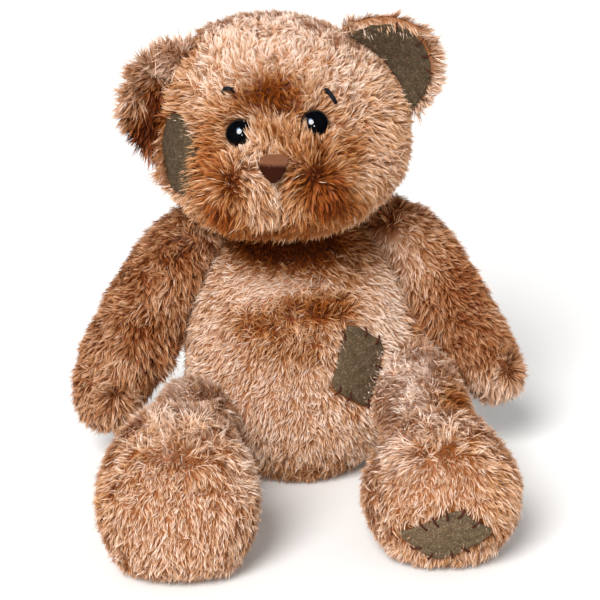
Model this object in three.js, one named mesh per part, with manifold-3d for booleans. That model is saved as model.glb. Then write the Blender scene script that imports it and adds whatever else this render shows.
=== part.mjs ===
// A seated patchwork teddy bear: stuffed plush head, body, arms, legs and ears, sewn from cut panels,
// with plastic safety eyes, a velour nose, thread brows and sewn-on wool patches.
// Millimetres, +Z up. The bear faces -Y and its own left side is +X.
// The origin is the middle of the flat spot that the seat makes on the surface under it.
import * as THREE from 'three';
import { mergeVertices } from 'three/addons/utils/BufferGeometryUtils.js';
import Module from 'manifold-3d';

const wasm = await Module();
wasm.setup();

// ---------- Driving dimensions ----------
const PLUSH = 6; // plush thickness: knitted backing with its pile pressed together
const GAP = 0.3; // clearance between pieces that touch
const NECK_HEIGHT = 128; // the head is sewn to the body at this height
const EYE_DIAMETER = 13.5; // a stock safety-eye size
const EYE_RISE = 4.6; // height of the eye's dome over its flange
const EYE_FLANGE = 1.4;
const EYE_SINK = 2.4; // how far the eye's back is pressed into the pile
const EYE_SPREAD = THREE.MathUtils.degToRad(20); // from the middle of the face to each eye
const EYE_TILT = THREE.MathUtils.degToRad(74); // from the crown down to the eyes
const STEM_RADIUS = 2;
const STEM_LENGTH = 13;
const WASHER_RADIUS = 8.5;
const WASHER_THICKNESS = 1.4;
const WASHER_DEPTH = 7; // from the eye's back to the washer's
const NOSE_RADIUS = 9.8;
const NOSE_SINK = 1.6;
const NOSE_RISE = 1.4;
const BROW_WIDTH = 17;
const BROW_ARCH = 8;
const WOOL = 1.3; // thickness of the patch cloth
const WOOL_SINK = 2.6; // how far a patch lies below the tips of the pile
const THREAD_RADIUS = 1.1; // a brow's satin stitches as one cord
const SEAT_DROP = 9; // how much of the round seat the surface flattens
const SIDES = 18; // facets round a form
const RINGS = 12; // facets from end to end of a form
const COARSE = 0.7; // share of those facets that an inner surface needs

// ---------- Materials ----------
const cloth = (color, roughness = 0.95) => new THREE.MeshStandardMaterial({ color, roughness, metalness: 0 });
const plush = cloth(0xb98258);
const darkPlush = cloth(0x9a6440);
const wool = cloth(0x4f4a36);
const velour = cloth(0x4a2a20);
const fibre = cloth(0xf1eee6);
const blackThread = cloth(0x1c2230, 0.7);
const blackPlastic = new THREE.MeshStandardMaterial({ color: 0x08080a, roughness: 0.08, metalness: 0 });
const whitePlastic = new THREE.MeshStandardMaterial({ color: 0xe9e7e0, roughness: 0.5, metalness: 0 });

// ---------- Solids and meshes ----------
function solidFrom(geometry) {
  const bare = geometry.index ? geometry.toNonIndexed() : geometry.clone();
  for (const name of Object.keys(bare.attributes)) {
    if (name !== 'position') bare.deleteAttribute(name);
  }
  const merged = mergeVertices(bare, 1e-4);
  const triVerts = new Uint32Array(merged.index.array);
  const build = () => new wasm.Manifold(
    new wasm.Mesh({ numProp: 3, vertProperties: merged.attributes.position.array, triVerts }),
  );
  const made = build();
  if (made.volume() > 0) return made;
  for (let i = 0; i < triVerts.length; i += 3) {
    [triVerts[i + 1], triVerts[i + 2]] = [triVerts[i + 2], triVerts[i + 1]];
  }
  return build();
}

const bear = new THREE.Group();

function addPiece(name, solid, material) {
  const { vertProperties, triVerts, numProp } = solid.getMesh();
  const corners = new Float32Array(triVerts.length * 3);
  triVerts.forEach((v, i) => corners.set(vertProperties.subarray(v * numProp, v * numProp + 3), i * 3));
  const geometry = new THREE.BufferGeometry();
  geometry.setAttribute('position', new THREE.BufferAttribute(corners, 3));
  geometry.computeVertexNormals();
  const mesh = new THREE.Mesh(geometry, material);
  mesh.name = name;
  bear.add(mesh);
}

// Keeps what lies in front of each plane, given as a point on it and the direction that is kept.
function keepBeyond(solid, ...planes) {
  return planes.reduce((left, [point, direction]) => {
    const normal = direction.clone().normalize();
    return left.trimByPlane(normal.toArray(), point.dot(normal) + GAP / 2);
  }, solid);
}

// A flat plate cut to an outline and laid on a surface. outline(angle) is its radius in millimetres, and
// place(x, y, h) gives the point x and y along the surface from the plate's middle and h above it.
function plateOn(place, outline, low, high, sides = 16, rings = 2) {
  const points = [];
  const ring = (radius, k, h) => {
    const angle = (2 * Math.PI * k) / sides;
    const r = radius * outline(angle);
    return place(r * Math.cos(angle), r * Math.sin(angle), h);
  };
  const quad = (a, b, c, d) => points.push(a, b, c, a, c, d);
  for (let k = 0; k < sides; k += 1) {
    for (let j = 0; j < rings; j += 1) {
      const [r0, r1] = [j / rings, (j + 1) / rings];
      if (j === 0) {
        points.push(place(0, 0, high), ring(r1, k, high), ring(r1, k + 1, high));
        points.push(place(0, 0, low), ring(r1, k + 1, low), ring(r1, k, low));
      } else {
        quad(ring(r0, k, high), ring(r1, k, high), ring(r1, k + 1, high), ring(r0, k + 1, high));
        quad(ring(r0, k + 1, low), ring(r1, k + 1, low), ring(r1, k, low), ring(r0, k, low));
      }
    }
    quad(ring(1, k, high), ring(1, k, low), ring(1, k + 1, low), ring(1, k + 1, high));
  }
  return solidFrom(new THREE.BufferGeometry().setFromPoints(points));
}

// Outlines for plates. A rounded rectangle is a super-ellipse of a high power. Its skew is how far its sides
// lean for their height, as those of a hand-cut scrap do.
const CRISPNESS = 12;
const rectangle = (width, height, skew) => (angle) => {
  const [x, y] = [(2 * (Math.cos(angle) - skew * Math.sin(angle))) / width, (2 * Math.sin(angle)) / height];
  return (Math.abs(x) ** CRISPNESS + Math.abs(y) ** CRISPNESS) ** (-1 / CRISPNESS);
};
const triangle = (radius) => (angle) => {
  const third = (2 * Math.PI) / 3;
  const off = ((((angle + Math.PI / 2) % third) + third) % third) - third / 2;
  return radius * (0.35 / Math.cos(off) + 0.3);
};
const ellipse = (width, height) => (angle) => (
  1 / Math.hypot((2 * Math.cos(angle)) / width, (2 * Math.sin(angle)) / height)
);

// ---------- Stuffed forms ----------
// A form is a closed surface with at(t, angle, inset): t runs from 0 at its top to pi at its foot, angle runs
// round it from +X through +Y, and inset is how far inside the outer surface the point lies.
const between = (values, s) => {
  const x = s * (values.length - 1);
  const i = Math.min(Math.floor(x), values.length - 2);
  const u = (x - i) * (x - i) * (3 - 2 * (x - i));
  return values[i] * (1 - u) + values[i + 1] * u;
};
const signedPower = (x, power) => Math.sign(x) * Math.abs(x) ** power;

class Form {
  solid(inset = 0, share = 1) {
    const ball = new THREE.SphereGeometry(1, Math.round(SIDES * share), Math.round(RINGS * share));
    const { position } = ball.attributes;
    for (let i = 0; i < position.count; i += 1) {
      const [x, y, z] = [position.getX(i), position.getY(i), position.getZ(i)];
      const p = this.at(Math.acos(THREE.MathUtils.clamp(y, -1, 1)), Math.atan2(z, x), inset);
      position.setXYZ(i, p.x, p.y, p.z);
    }
    return solidFrom(ball);
  }

  // Gives the surface point that lies x and y millimetres from (t, angle) in the flat plane that touches the
  // surface there, moved out by h. x runs round the form and y towards its top, both turned by turn.
  placer(t, angle, turn = 0) {
    const middle = this.at(t, angle, 0);
    const outward = this.normal(t, angle);
    const [down, round] = this.slopes(t, angle);
    const up = down.negate().addScaledVector(outward, down.dot(outward)).normalize();
    const across = new THREE.Vector3().crossVectors(up, outward);
    if (across.dot(round) < 0) across.negate();
    up.applyAxisAngle(outward, turn);
    across.applyAxisAngle(outward, turn);
    return (x, y, h) => {
      let [u, v] = [t, angle];
      for (let i = 0; i < 12; i += 1) {
        const left = this.at(u, v, 0).sub(middle);
        const [ex, ey] = [x - left.dot(across), y - left.dot(up)];
        const [du, dv] = this.slopes(u, v);
        const [a, b, c, d] = [du.dot(across), dv.dot(across), du.dot(up), dv.dot(up)];
        const share = 0.8 / (a * d - b * c);
        u += (ex * d - ey * b) * share;
        v += (ey * a - ex * c) * share;
      }
      return this.at(u, v, 0).addScaledVector(this.normal(u, v), h);
    };
  }

  slopes(t, angle) {
    const step = 1e-3;
    return [[step, 0], [0, step]].map(([du, dv]) => (
      this.at(t + du, angle + dv, 0).sub(this.at(t - du, angle - dv, 0)).divideScalar(2 * step)
    ));
  }

  normal(t, angle) {
    const [down, round] = this.slopes(t, angle);
    const out = round.cross(down).normalize();
    return out.dot(this.at(t, angle, 0).sub(this.at(t, angle, 1))) < 0 ? out.negate() : out;
  }
}

// A super-ellipse section swept from the first to the last point of a spine.
class Sweep extends Form {
  constructor({ spine, widths, depths, side = new THREE.Vector3(1, 0, 0), endPower = 2, sectionPower = 2 }) {
    super();
    this.curve = new THREE.CatmullRomCurve3(spine.map((p) => new THREE.Vector3(...p)));
    this.length = this.curve.getLength();
    Object.assign(this, { widths, depths, side, endPower, sectionPower });
  }

  at(t, angle, inset) {
    const end = inset / this.length;
    const along = (1 - signedPower(Math.cos(t), 2 / this.endPower)) / 2;
    const s = THREE.MathUtils.clamp(end + along * (1 - 2 * end), 0, 1);
    const fullness = Math.max(Math.sin(t), 0) ** (2 / this.endPower);
    const tangent = this.curve.getTangentAt(s);
    const wide = this.side.clone().addScaledVector(tangent, -this.side.dot(tangent)).normalize();
    const deep = new THREE.Vector3().crossVectors(wide, tangent);
    const power = 2 / this.sectionPower;
    const w = (between(this.widths, s) - inset) * fullness * signedPower(Math.cos(angle), power);
    const d = (between(this.depths, s) - inset) * fullness * signedPower(Math.sin(angle), power);
    return this.curve.getPointAt(s).addScaledVector(wide, w).addScaledVector(deep, d);
  }
}

// A ball with swellings, each a direction, a height and a spread in degrees.
class Ball extends Form {
  constructor({ centre, radii, turn, swellings }) {
    super();
    this.centre = new THREE.Vector3(...centre);
    this.turn = new THREE.Quaternion().setFromEuler(new THREE.Euler(...turn));
    this.swellings = swellings.map(([direction, height, spread]) => (
      [new THREE.Vector3(...direction).normalize(), height, THREE.MathUtils.degToRad(spread)]
    ));
    this.radii = radii;
  }

  radius(direction) {
    const [a, b, c] = this.radii;
    const plain = 1 / Math.hypot(direction.x / a, direction.y / b, direction.z / c);
    return this.swellings.reduce(
      (r, [axis, height, spread]) => r + height * Math.exp(-((axis.angleTo(direction) / spread) ** 2)),
      plain,
    );
  }

  at(t, angle, inset) {
    const direction = new THREE.Vector3(
      Math.sin(t) * Math.cos(angle),
      Math.sin(t) * Math.sin(angle),
      Math.cos(t),
    );
    direction.multiplyScalar(this.radius(direction) - inset);
    return direction.applyQuaternion(this.turn).add(this.centre);
  }
}

const UP = new THREE.Vector3(0, 0, 1);
const DOWN = new THREE.Vector3(0, 0, -1);
const degrees = THREE.MathUtils.degToRad;
const FLOOR = new THREE.Vector3();
const NECK = new THREE.Vector3(0, 0, NECK_HEIGHT);
const FRONT_ANGLE = -Math.PI / 2;

// ---------- Body ----------
const body = new Sweep({
  spine: [[0, 3, 138], [0, 1, 95], [-1, -3, 50], [-1, -3, -SEAT_DROP]],
  widths: [38, 50, 58, 60, 58, 52],
  depths: [34, 42, 49, 53, 54, 54],
  endPower: 2.7,
});
const bodyOuter = body.solid();
const bodyClear = body.solid(-GAP);
const bodyShell = keepBeyond(
  bodyOuter.subtract(keepBeyond(body.solid(PLUSH, COARSE), [new THREE.Vector3(0, 0, PLUSH), UP])),
  [FLOOR.clone().addScaledVector(UP, -GAP / 2), UP],
  [NECK, DOWN],
);
const bodyStuffing = keepBeyond(
  body.solid(PLUSH + GAP, COARSE),
  [new THREE.Vector3(0, 0, PLUSH + GAP), UP],
  [NECK, DOWN],
);

// The seat is a panel of its own, and the back closes with a seam down its middle.
const SEAT_SEAM = new THREE.Vector3(0, 0, 9);
const SIDE_SEAM = new THREE.Vector3(0, 4, 0);
const FORWARD = new THREE.Vector3(0, -1, 0);
const BACKWARD = new THREE.Vector3(0, 1, 0);
const LEFTWARD = new THREE.Vector3(1, 0, 0);
const RIGHTWARD = new THREE.Vector3(-1, 0, 0);

// A wool patch lies in a pocket pressed into the pile.
const PATCH_SIDES = 40;
function patchOn(place, outline) {
  const larger = (angle) => outline(angle) + GAP;
  return {
    patch: plateOn(place, outline, -WOOL_SINK, WOOL - WOOL_SINK, PATCH_SIDES),
    pocket: plateOn(place, larger, -WOOL_SINK - GAP, PLUSH, PATCH_SIDES),
  };
}
const TUMMY_PATCH = {
  t: degrees(90.5), angle: FRONT_ANGLE + degrees(31.5), turn: degrees(-29), width: 25.5, height: 33.5, skew: -0.22,
};
const tummy = patchOn(
  body.placer(TUMMY_PATCH.t, TUMMY_PATCH.angle, TUMMY_PATCH.turn),
  rectangle(TUMMY_PATCH.width, TUMMY_PATCH.height, TUMMY_PATCH.skew),
);
const bodyFront = keepBeyond(bodyShell, [SIDE_SEAM, FORWARD], [SEAT_SEAM, UP]);
addPiece('body_front_panel', bodyFront.subtract(tummy.pocket), plush);
addPiece('tummy_patch', tummy.patch, wool);
const bodyBack = keepBeyond(bodyShell, [SIDE_SEAM, BACKWARD], [SEAT_SEAM, UP]);
addPiece('body_back_left_panel', keepBeyond(bodyBack, [FLOOR, LEFTWARD]), plush);
addPiece('body_back_right_panel', keepBeyond(bodyBack, [FLOOR, RIGHTWARD]), plush);
addPiece('body_seat_panel', keepBeyond(bodyShell, [SEAT_SEAM, DOWN]), plush);
addPiece('body_stuffing', bodyStuffing, fibre);

// ---------- Head ----------
// It leans towards the bear's right shoulder and is turned a little the same way.
const HEAD_TURN = [degrees(0), degrees(-8), degrees(-3), 'ZYX'];
const head = new Ball({
  centre: [-6, -13, 177],
  radii: [60, 52, 54],
  turn: HEAD_TURN,
  swellings: [
    // the muzzle: its mass, a lobe on each side, the ledge over them and the crease under the nose
    [[-0.05, -0.97, -0.14], 15, 22],
    [[0.36, -0.86, -0.36], 13, 22],
    [[-0.44, -0.86, -0.36], 13, 22],
    [[0.24, -0.96, -0.12], 4, 13],
    [[-0.38, -0.91, -0.18], 4, 13],
    [[-0.06, -0.99, 0.08], 3, 13],
    [[-0.08, -0.91, -0.4], -4, 10],
    // the hollows beside it and between the eyes
    [[0.7, -0.68, -0.2], -3.5, 14],
    [[-0.68, -0.72, -0.1], -3.5, 14],
    [[0, -0.9, 0.3], -5.5, 18],
    // the cheeks and the crown
    [[0.85, -0.25, -0.4], 4, 30],
    [[-0.85, -0.25, -0.4], 7, 30],
    [[-0.38, -0.05, 1], 8, 40],
  ],
});
const headOuter = head.solid();
const headClear = head.solid(-GAP);
let headShell = keepBeyond(headOuter.subtract(head.solid(PLUSH, COARSE)), [NECK, UP]);
let headStuffing = keepBeyond(head.solid(PLUSH + GAP, COARSE), [NECK, UP]);

// Eyes: a glossy dome on a stem that passes through the plush and snaps into a washer inside.
const rod = (radius, from, to) => [[0, from], [radius, from], [radius, to], [0, to]];
const lathe = (profile, sides = 16) => (
  solidFrom(new THREE.LatheGeometry(profile.map(([r, y]) => new THREE.Vector2(r, y)), sides))
);
const pegAt = (solid, point, axis) => {
  const turn = new THREE.Quaternion().setFromUnitVectors(new THREE.Vector3(0, 1, 0), axis);
  const matrix = new THREE.Matrix4().compose(point, turn, new THREE.Vector3(1, 1, 1));
  return solid.transform(matrix.elements);
};
const EYE_RADIUS = EYE_DIAMETER / 2;
const domeProfile = [];
for (let k = 0; k <= 5; k += 1) {
  const a = (Math.PI / 2) * (k / 5);
  domeProfile.push([EYE_RADIUS * Math.cos(a), EYE_FLANGE + EYE_RISE * Math.sin(a)]);
}
const eyeSolid = lathe([
  [0, -STEM_LENGTH], [STEM_RADIUS, -STEM_LENGTH], [STEM_RADIUS, 0], [EYE_RADIUS - 0.6, 0], ...domeProfile,
]);
const washerSolid = lathe([
  [STEM_RADIUS + GAP, 0], [WASHER_RADIUS, 0], [WASHER_RADIUS, WASHER_THICKNESS],
  [STEM_RADIUS + GAP, WASHER_THICKNESS], [STEM_RADIUS + GAP, 0],
]);
const eyeRecess = lathe(rod(EYE_RADIUS + GAP, -GAP, 2 * PLUSH));
const stemHole = lathe(rod(STEM_RADIUS + GAP, -STEM_LENGTH, 1));
const washerRecess = lathe(rod(WASHER_RADIUS + 1, -WASHER_THICKNESS, WASHER_THICKNESS + GAP));
const washerRoom = lathe(rod(WASHER_RADIUS + 1, WASHER_DEPTH - STEM_LENGTH - 1, WASHER_DEPTH));
for (const [side, sign] of [['left', 1], ['right', -1]]) {
  const angle = FRONT_ANGLE + sign * EYE_SPREAD;
  const axis = head.normal(EYE_TILT, angle);
  const seat = head.at(EYE_TILT, angle, 0).addScaledVector(axis, -EYE_SINK);
  const washerSeat = seat.clone().addScaledVector(axis, -WASHER_DEPTH);
  headShell = headShell.subtract(pegAt(eyeRecess, seat, axis)).subtract(pegAt(stemHole, seat, axis));
  headShell = headShell.subtract(pegAt(washerRecess, washerSeat, axis));
  headStuffing = headStuffing.subtract(pegAt(washerRoom, washerSeat, axis));
  addPiece(`eye_${side}`, pegAt(eyeSolid, seat, axis), blackPlastic);
  addPiece(`eye_${side}_washer`, pegAt(washerSolid, washerSeat, axis), whitePlastic);
}

// The nose is a small velour triangle, point down, over the tip of the muzzle.
const nosePlace = head.placer(degrees(88.5), FRONT_ANGLE - degrees(2.2));
const noseOutline = triangle(NOSE_RADIUS);
const noseRecess = plateOn(nosePlace, (a) => noseOutline(a) + GAP, -NOSE_SINK - GAP, PLUSH, 18);
headShell = headShell.subtract(noseRecess);
addPiece('nose', plateOn(nosePlace, noseOutline, -NOSE_SINK, NOSE_RISE, 18), velour);

// The cheek patch covers the bear's right cheek, in front of the ear.
const cheek = patchOn(head.placer(degrees(88), FRONT_ANGLE - degrees(63.5)), ellipse(34, 40));
headShell = headShell.subtract(cheek.pocket);
addPiece('cheek_patch', cheek.patch, wool);

// Brows: arched cords of satin stitches over the eyes.
for (const [side, sign, tilt] of [['left', 1, 60.7], ['right', -1, 57.2]]) {
  const place = head.placer(degrees(tilt), FRONT_ANGLE - degrees(1.5) + sign * degrees(27), -sign * degrees(16));
  const points = [];
  for (let k = 0; k <= 6; k += 1) {
    const x = (k / 6 - 0.5) * BROW_WIDTH;
    const y = BROW_ARCH * (0.5 - (2 * x / BROW_WIDTH) ** 2);
    points.push(place(x, y, THREAD_RADIUS + 2 * GAP));
  }
  const section = new THREE.Shape().absarc(0, 0, THREAD_RADIUS, 0, 2 * Math.PI);
  const cord = new THREE.ExtrudeGeometry(section, {
    steps: 10, curveSegments: 6, extrudePath: new THREE.CatmullRomCurve3(points),
  });
  addPiece(`brow_${side}`, solidFrom(cord), blackThread);
}

// The panels: a gusset over the forehead, a side each, a muzzle half each, and the back of the head.
const inHead = (x, y, z) => new THREE.Vector3(x, y, z).applyQuaternion(head.turn);
const headPoint = (x, y, z) => inHead(x, y, z).add(head.centre);
const GUSSET_HALF = 36;
const MUZZLE_TOP = [headPoint(0, -40, 4), inHead(0, -0.25, -1)];
const flip = ([point, direction]) => [point, direction.clone().negate()];
const BACK_SEAM = [headPoint(0, 14, 0), inHead(0, 1, 0)];
const LEFT_SEAM = [headPoint(GUSSET_HALF, 0, 0), inHead(1, 0, 0)];
const RIGHT_SEAM = [headPoint(-GUSSET_HALF, 0, 0), inHead(-1, 0, 0)];
const CENTRE_LEFT = [headPoint(0, 0, 0), inHead(1, 0, 0)];
const headFront = keepBeyond(headShell, flip(BACK_SEAM));
const faceStrip = keepBeyond(headFront, flip(LEFT_SEAM), flip(RIGHT_SEAM));
const muzzle = keepBeyond(faceStrip, MUZZLE_TOP);
addPiece('head_gusset_panel', keepBeyond(faceStrip, flip(MUZZLE_TOP)), plush);
addPiece('muzzle_left_panel', keepBeyond(muzzle, CENTRE_LEFT), plush);
addPiece('muzzle_right_panel', keepBeyond(muzzle, flip(CENTRE_LEFT)), plush);
addPiece('head_back_panel', keepBeyond(headShell, BACK_SEAM), plush);
addPiece('head_left_panel', keepBeyond(headFront, LEFT_SEAM), plush);
addPiece('head_right_panel', keepBeyond(headFront, RIGHT_SEAM), plush);
addPiece('head_stuffing', headStuffing, fibre);

// ---------- Ears ----------
// Each is a cupped half disc with a lining let into its front: wool on the left, plush on the right.
const EAR = { reach: 31, cup: 7, half: 5.5, liningSize: 0.78, liningDepth: 2.4 };
function makeEar({ base, along, out, halfBase }) {
  const x = inHead(...along).normalize();
  const y = inHead(...out);
  y.addScaledVector(x, -y.dot(x)).normalize();
  const front = new THREE.Vector3().crossVectors(x, y);
  if (front.y > 0) front.negate();
  const origin = headPoint(...base);
  const place = (u, v, h) => {
    const cup = EAR.cup * ((u / halfBase) ** 2 + (v / EAR.reach) ** 2);
    return origin.clone().addScaledVector(x, u).addScaledVector(y, v).addScaledVector(front, h + cup);
  };
  const ball = new THREE.SphereGeometry(1, 18, 6);
  const { position } = ball.attributes;
  for (let i = 0; i < position.count; i += 1) {
    const [u, h, v] = [position.getX(i), position.getY(i), position.getZ(i)];
    const p = place(u * halfBase, v * EAR.reach, h * EAR.half);
    position.setXYZ(i, p.x, p.y, p.z);
  }
  const outline = ellipse(2 * halfBase * EAR.liningSize, 2 * EAR.reach * EAR.liningSize);
  const recess = plateOn(place, (a) => outline(a) + GAP, EAR.liningDepth - GAP, 2 * EAR.half);
  return {
    back: solidFrom(ball).subtract(recess).subtract(headClear),
    lining: plateOn(place, outline, EAR.liningDepth, EAR.liningDepth + WOOL).subtract(headClear),
  };
}
const EARS = {
  left: { base: [49, 2, 24], along: [0.45, 0, -0.9], out: [0.86, 0.05, 0.5], halfBase: 30 },
  right: { base: [-52, -2, 24], along: [0.28, -0.15, 0.95], out: [-0.9, -0.2, -0.1], halfBase: 34 },
};
for (const [side, spec] of Object.entries(EARS)) {
  const ear = makeEar(spec);
  addPiece(`ear_${side}_back`, ear.back, darkPlush);
  addPiece(`ear_${side}_lining`, ear.lining, side === 'left' ? wool : darkPlush);
}

// ---------- Limbs ----------
// A limb's wall and filling, cut where it is sewn against the body.
function stuffedLimb(forms, ...cutters) {
  const joined = (inset, share) => {
    const parts = forms.map((form) => form.solid(inset, share));
    return parts.slice(1).reduce((all, part) => all.add(part), parts[0]);
  };
  const cut = (solid) => cutters.reduce((left, cutter) => left.subtract(cutter), solid);
  const floor = (height) => [new THREE.Vector3(0, 0, height - GAP / 2), UP];
  const hollow = keepBeyond(joined(PLUSH, COARSE), floor(PLUSH));
  return {
    clear: joined(-GAP, 1),
    shell: cut(keepBeyond(joined(0, 1).subtract(hollow), floor(0))),
    stuffing: cut(keepBeyond(joined(PLUSH + GAP, COARSE), floor(PLUSH + GAP))),
  };
}

// Legs run forward along the surface to big round feet. A foot's spine runs from its heel to its toes.
const LEGS = {
  left: {
    leg: [[48, 6, 53], [58, -30, 47], [64, -68, 38], [66, -116, 34]],
    legWidths: [20, 24, 25, 26],
    foot: [[66, -106, 70], [66, -117, 30], [66, -118, -6]],
    footWidths: [30, 39, 36],
    footDepths: [26, 33, 29],
  },
  right: {
    leg: [[-40, 2, 38], [-50, -36, 34], [-55, -76, 36], [-56, -124, 40]],
    legWidths: [20, 24, 24, 26],
    foot: [[-56, -122, 79], [-56, -132, 36], [-54, -138, -8]],
    footWidths: [33, 39, 38],
    footDepths: [24, 29, 29],
  },
};
const SOLE_SEAM = 16; // how far the sole's seam lies behind the front of the foot
const FOOT_PATCH = {
  t: degrees(106), angle: FRONT_ANGLE + degrees(1), turn: degrees(-38), width: 25, height: 30, skew: 0.43,
};
const legsClear = {};
for (const [side, spec] of Object.entries(LEGS)) {
  const sign = side === 'left' ? 1 : -1;
  const leg = new Sweep({ spine: spec.leg, widths: spec.legWidths, depths: spec.legWidths, endPower: 3 });
  const foot = new Sweep({
    spine: spec.foot, widths: spec.footWidths, depths: spec.footDepths, endPower: 2.3, sectionPower: 2.2,
  });
  const { clear, shell, stuffing } = stuffedLimb([leg, foot], bodyClear);
  legsClear[side] = clear;
  const toes = new THREE.Vector3(...spec.foot[1]);
  const soleNormal = foot.normal(Math.PI / 2, FRONT_ANGLE);
  const seam = toes.clone().addScaledVector(soleNormal, spec.footDepths[1] - SOLE_SEAM);
  let skin = shell;
  if (side === 'left') {
    const patch = patchOn(
      foot.placer(FOOT_PATCH.t, FOOT_PATCH.angle, FOOT_PATCH.turn),
      rectangle(FOOT_PATCH.width, FOOT_PATCH.height, FOOT_PATCH.skew),
    );
    skin = shell.subtract(patch.pocket);
    addPiece('foot_patch', patch.patch, wool);
  }
  const upper = keepBeyond(skin, [seam, soleNormal.clone().negate()]);
  addPiece(`leg_${side}_sole_panel`, keepBeyond(skin, [seam, soleNormal]), plush);
  const outward = new THREE.Vector3(sign, 0, 0);
  addPiece(`leg_${side}_outer_panel`, keepBeyond(upper, [toes, outward]), plush);
  addPiece(`leg_${side}_inner_panel`, keepBeyond(upper, [toes, outward.clone().negate()]), plush);
  addPiece(`leg_${side}_stuffing`, stuffing, fibre);
}

// Arms hang at the sides with the paws resting low beside the hips.
const ARMS = {
  left: {
    spine: [[36, 3, 134], [58, 4, 110], [77, 3, 80], [95, 1, 52], [109, -1, 30]],
    widths: [20, 22, 22, 21, 21],
  },
  right: {
    spine: [[-37, 2, 134], [-61, 1, 108], [-80, -2, 76], [-95, -7, 46], [-104, -11, 16]],
    widths: [19, 22.5, 24, 24, 21],
  },
};
for (const [side, arm] of Object.entries(ARMS)) {
  const form = new Sweep({ ...arm, depths: arm.widths, endPower: 3.2 });
  const { shell, stuffing } = stuffedLimb([form], bodyClear, headClear, legsClear[side]);
  const middle = new THREE.Vector3(...arm.spine[2]);
  addPiece(`arm_${side}_front_panel`, keepBeyond(shell, [middle, FORWARD]), darkPlush);
  addPiece(`arm_${side}_back_panel`, keepBeyond(shell, [middle, BACKWARD]), darkPlush);
  addPiece(`arm_${side}_stuffing`, stuffing, fibre);
}

export default bear;
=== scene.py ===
"""Threadbare teddy bear, sitting: long-pile plush bags of polyester fibre, felt patches, plastic eyes."""

import math

import bmesh
import bpy
import numpy as np
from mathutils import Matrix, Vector
from mathutils.bvhtree import BVHTree


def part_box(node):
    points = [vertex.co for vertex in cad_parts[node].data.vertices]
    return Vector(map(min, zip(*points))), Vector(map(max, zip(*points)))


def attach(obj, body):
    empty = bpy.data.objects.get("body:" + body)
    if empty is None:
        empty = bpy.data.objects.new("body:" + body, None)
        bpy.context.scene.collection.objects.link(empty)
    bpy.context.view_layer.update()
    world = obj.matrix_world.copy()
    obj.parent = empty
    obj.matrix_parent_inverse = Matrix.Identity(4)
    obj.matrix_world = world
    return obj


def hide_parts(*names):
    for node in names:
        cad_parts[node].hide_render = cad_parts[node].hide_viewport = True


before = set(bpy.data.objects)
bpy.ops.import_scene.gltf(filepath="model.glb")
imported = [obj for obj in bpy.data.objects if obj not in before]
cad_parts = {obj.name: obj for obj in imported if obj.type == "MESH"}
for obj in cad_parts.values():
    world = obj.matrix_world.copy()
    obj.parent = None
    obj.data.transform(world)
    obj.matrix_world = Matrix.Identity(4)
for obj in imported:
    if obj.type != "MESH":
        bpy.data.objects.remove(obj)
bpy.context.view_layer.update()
MM = 0.001

# ---- Camera ------------------------------------------------------------------------------------
# The bear sits facing the camera, which looks a little down on it from about a metre away, through
# a long lens that keeps its feet from looking too large.

VIEW_TARGET = Vector((0, -20, 91)) * MM
VIEW_TILT = math.radians(20)
VIEW_DISTANCE = 1050 * MM
camera = bpy.data.objects.new("camera", bpy.data.cameras.new("camera"))
camera.data.lens = 126
camera.data.sensor_width = 36
camera.data.clip_end = 20
camera.location = VIEW_TARGET + Vector((0, -math.cos(VIEW_TILT), math.sin(VIEW_TILT))) * VIEW_DISTANCE
camera.rotation_euler = (math.radians(90) - VIEW_TILT, 0, 0)
bpy.context.scene.collection.objects.link(camera)
bpy.context.scene.camera = camera

# ---- Stuffing ----------------------------------------------------------------------------------
# Each bag of plush is packed with crimped white polyester fibre. It is never seen: the skin lies
# tight on it, and gives the bear its plump, slightly uneven shape.


def node(tree, kind, inputs=None, **settings):
    """Adds a node, sets its options and fills its inputs: a value is set, and a node or socket is linked."""
    made = tree.nodes.new(kind)
    for name, value in settings.items():
        setattr(made, name, value)
    for key, value in (inputs or {}).items():
        if isinstance(value, bpy.types.Node):
            value = value.outputs[0]
        if isinstance(value, bpy.types.NodeSocket):
            tree.links.new(value, made.inputs[key])
        else:
            made.inputs[key].default_value = value
    return made


def linear(code):
    """An sRGB hex colour as the linear values that a shader takes, opaque."""
    parts = [int(code[i : i + 2], 16) / 255 for i in (1, 3, 5)]
    return [p / 12.92 if p <= 0.04045 else ((p + 0.055) / 1.055) ** 2.4 for p in parts] + [1.0]


def blank_material(name):
    """A material with nothing in it but its output."""
    material = bpy.data.materials.new(name)
    material.use_nodes = True
    material.node_tree.nodes.clear()
    return material, material.node_tree


def fibre_fill():
    """Polyester fibre fill: white and matt, in a loose curly web with shallow hollows."""
    material, tree = blank_material("Polyester fibre fill")
    place = node(tree, "ShaderNodeTexCoord").outputs["Object"]
    # The curls are 2.4 mm across, which is 0.42 to the mm. The other patterns' scales are given so too.
    web = node(tree, "ShaderNodeTexNoise", {0: place, "Scale": 0.42 / MM, "Detail": 6.0, "Distortion": 1.4})
    # A Mix node's inputs 6 and 7 are its two colours, and its output 2 is the mixed one.
    tint = node(tree, "ShaderNodeMix", {0: web, 6: linear("#D9D5CC"), 7: linear("#F6F4EE")}, data_type="RGBA")
    curl = node(tree, "ShaderNodeBump", {"Height": web, "Strength": 0.7, "Distance": 1.2 * MM})
    fibre = node(tree, "ShaderNodeBsdfPrincipled", {"Base Color": tint.outputs[2], "Normal": curl})
    fibre.inputs["Roughness"].default_value = 0.92
    fibre.inputs["Sheen Weight"].default_value = 0.4
    node(tree, "ShaderNodeOutputMaterial", {0: fibre})
    return material


def linked(name, mesh):
    """A new object for a mesh, in the scene."""
    made = bpy.data.objects.new(name, mesh)
    bpy.context.scene.collection.objects.link(made)
    return made


# Corners closer than this are one.
WELD = 0.01 * MM


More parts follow.
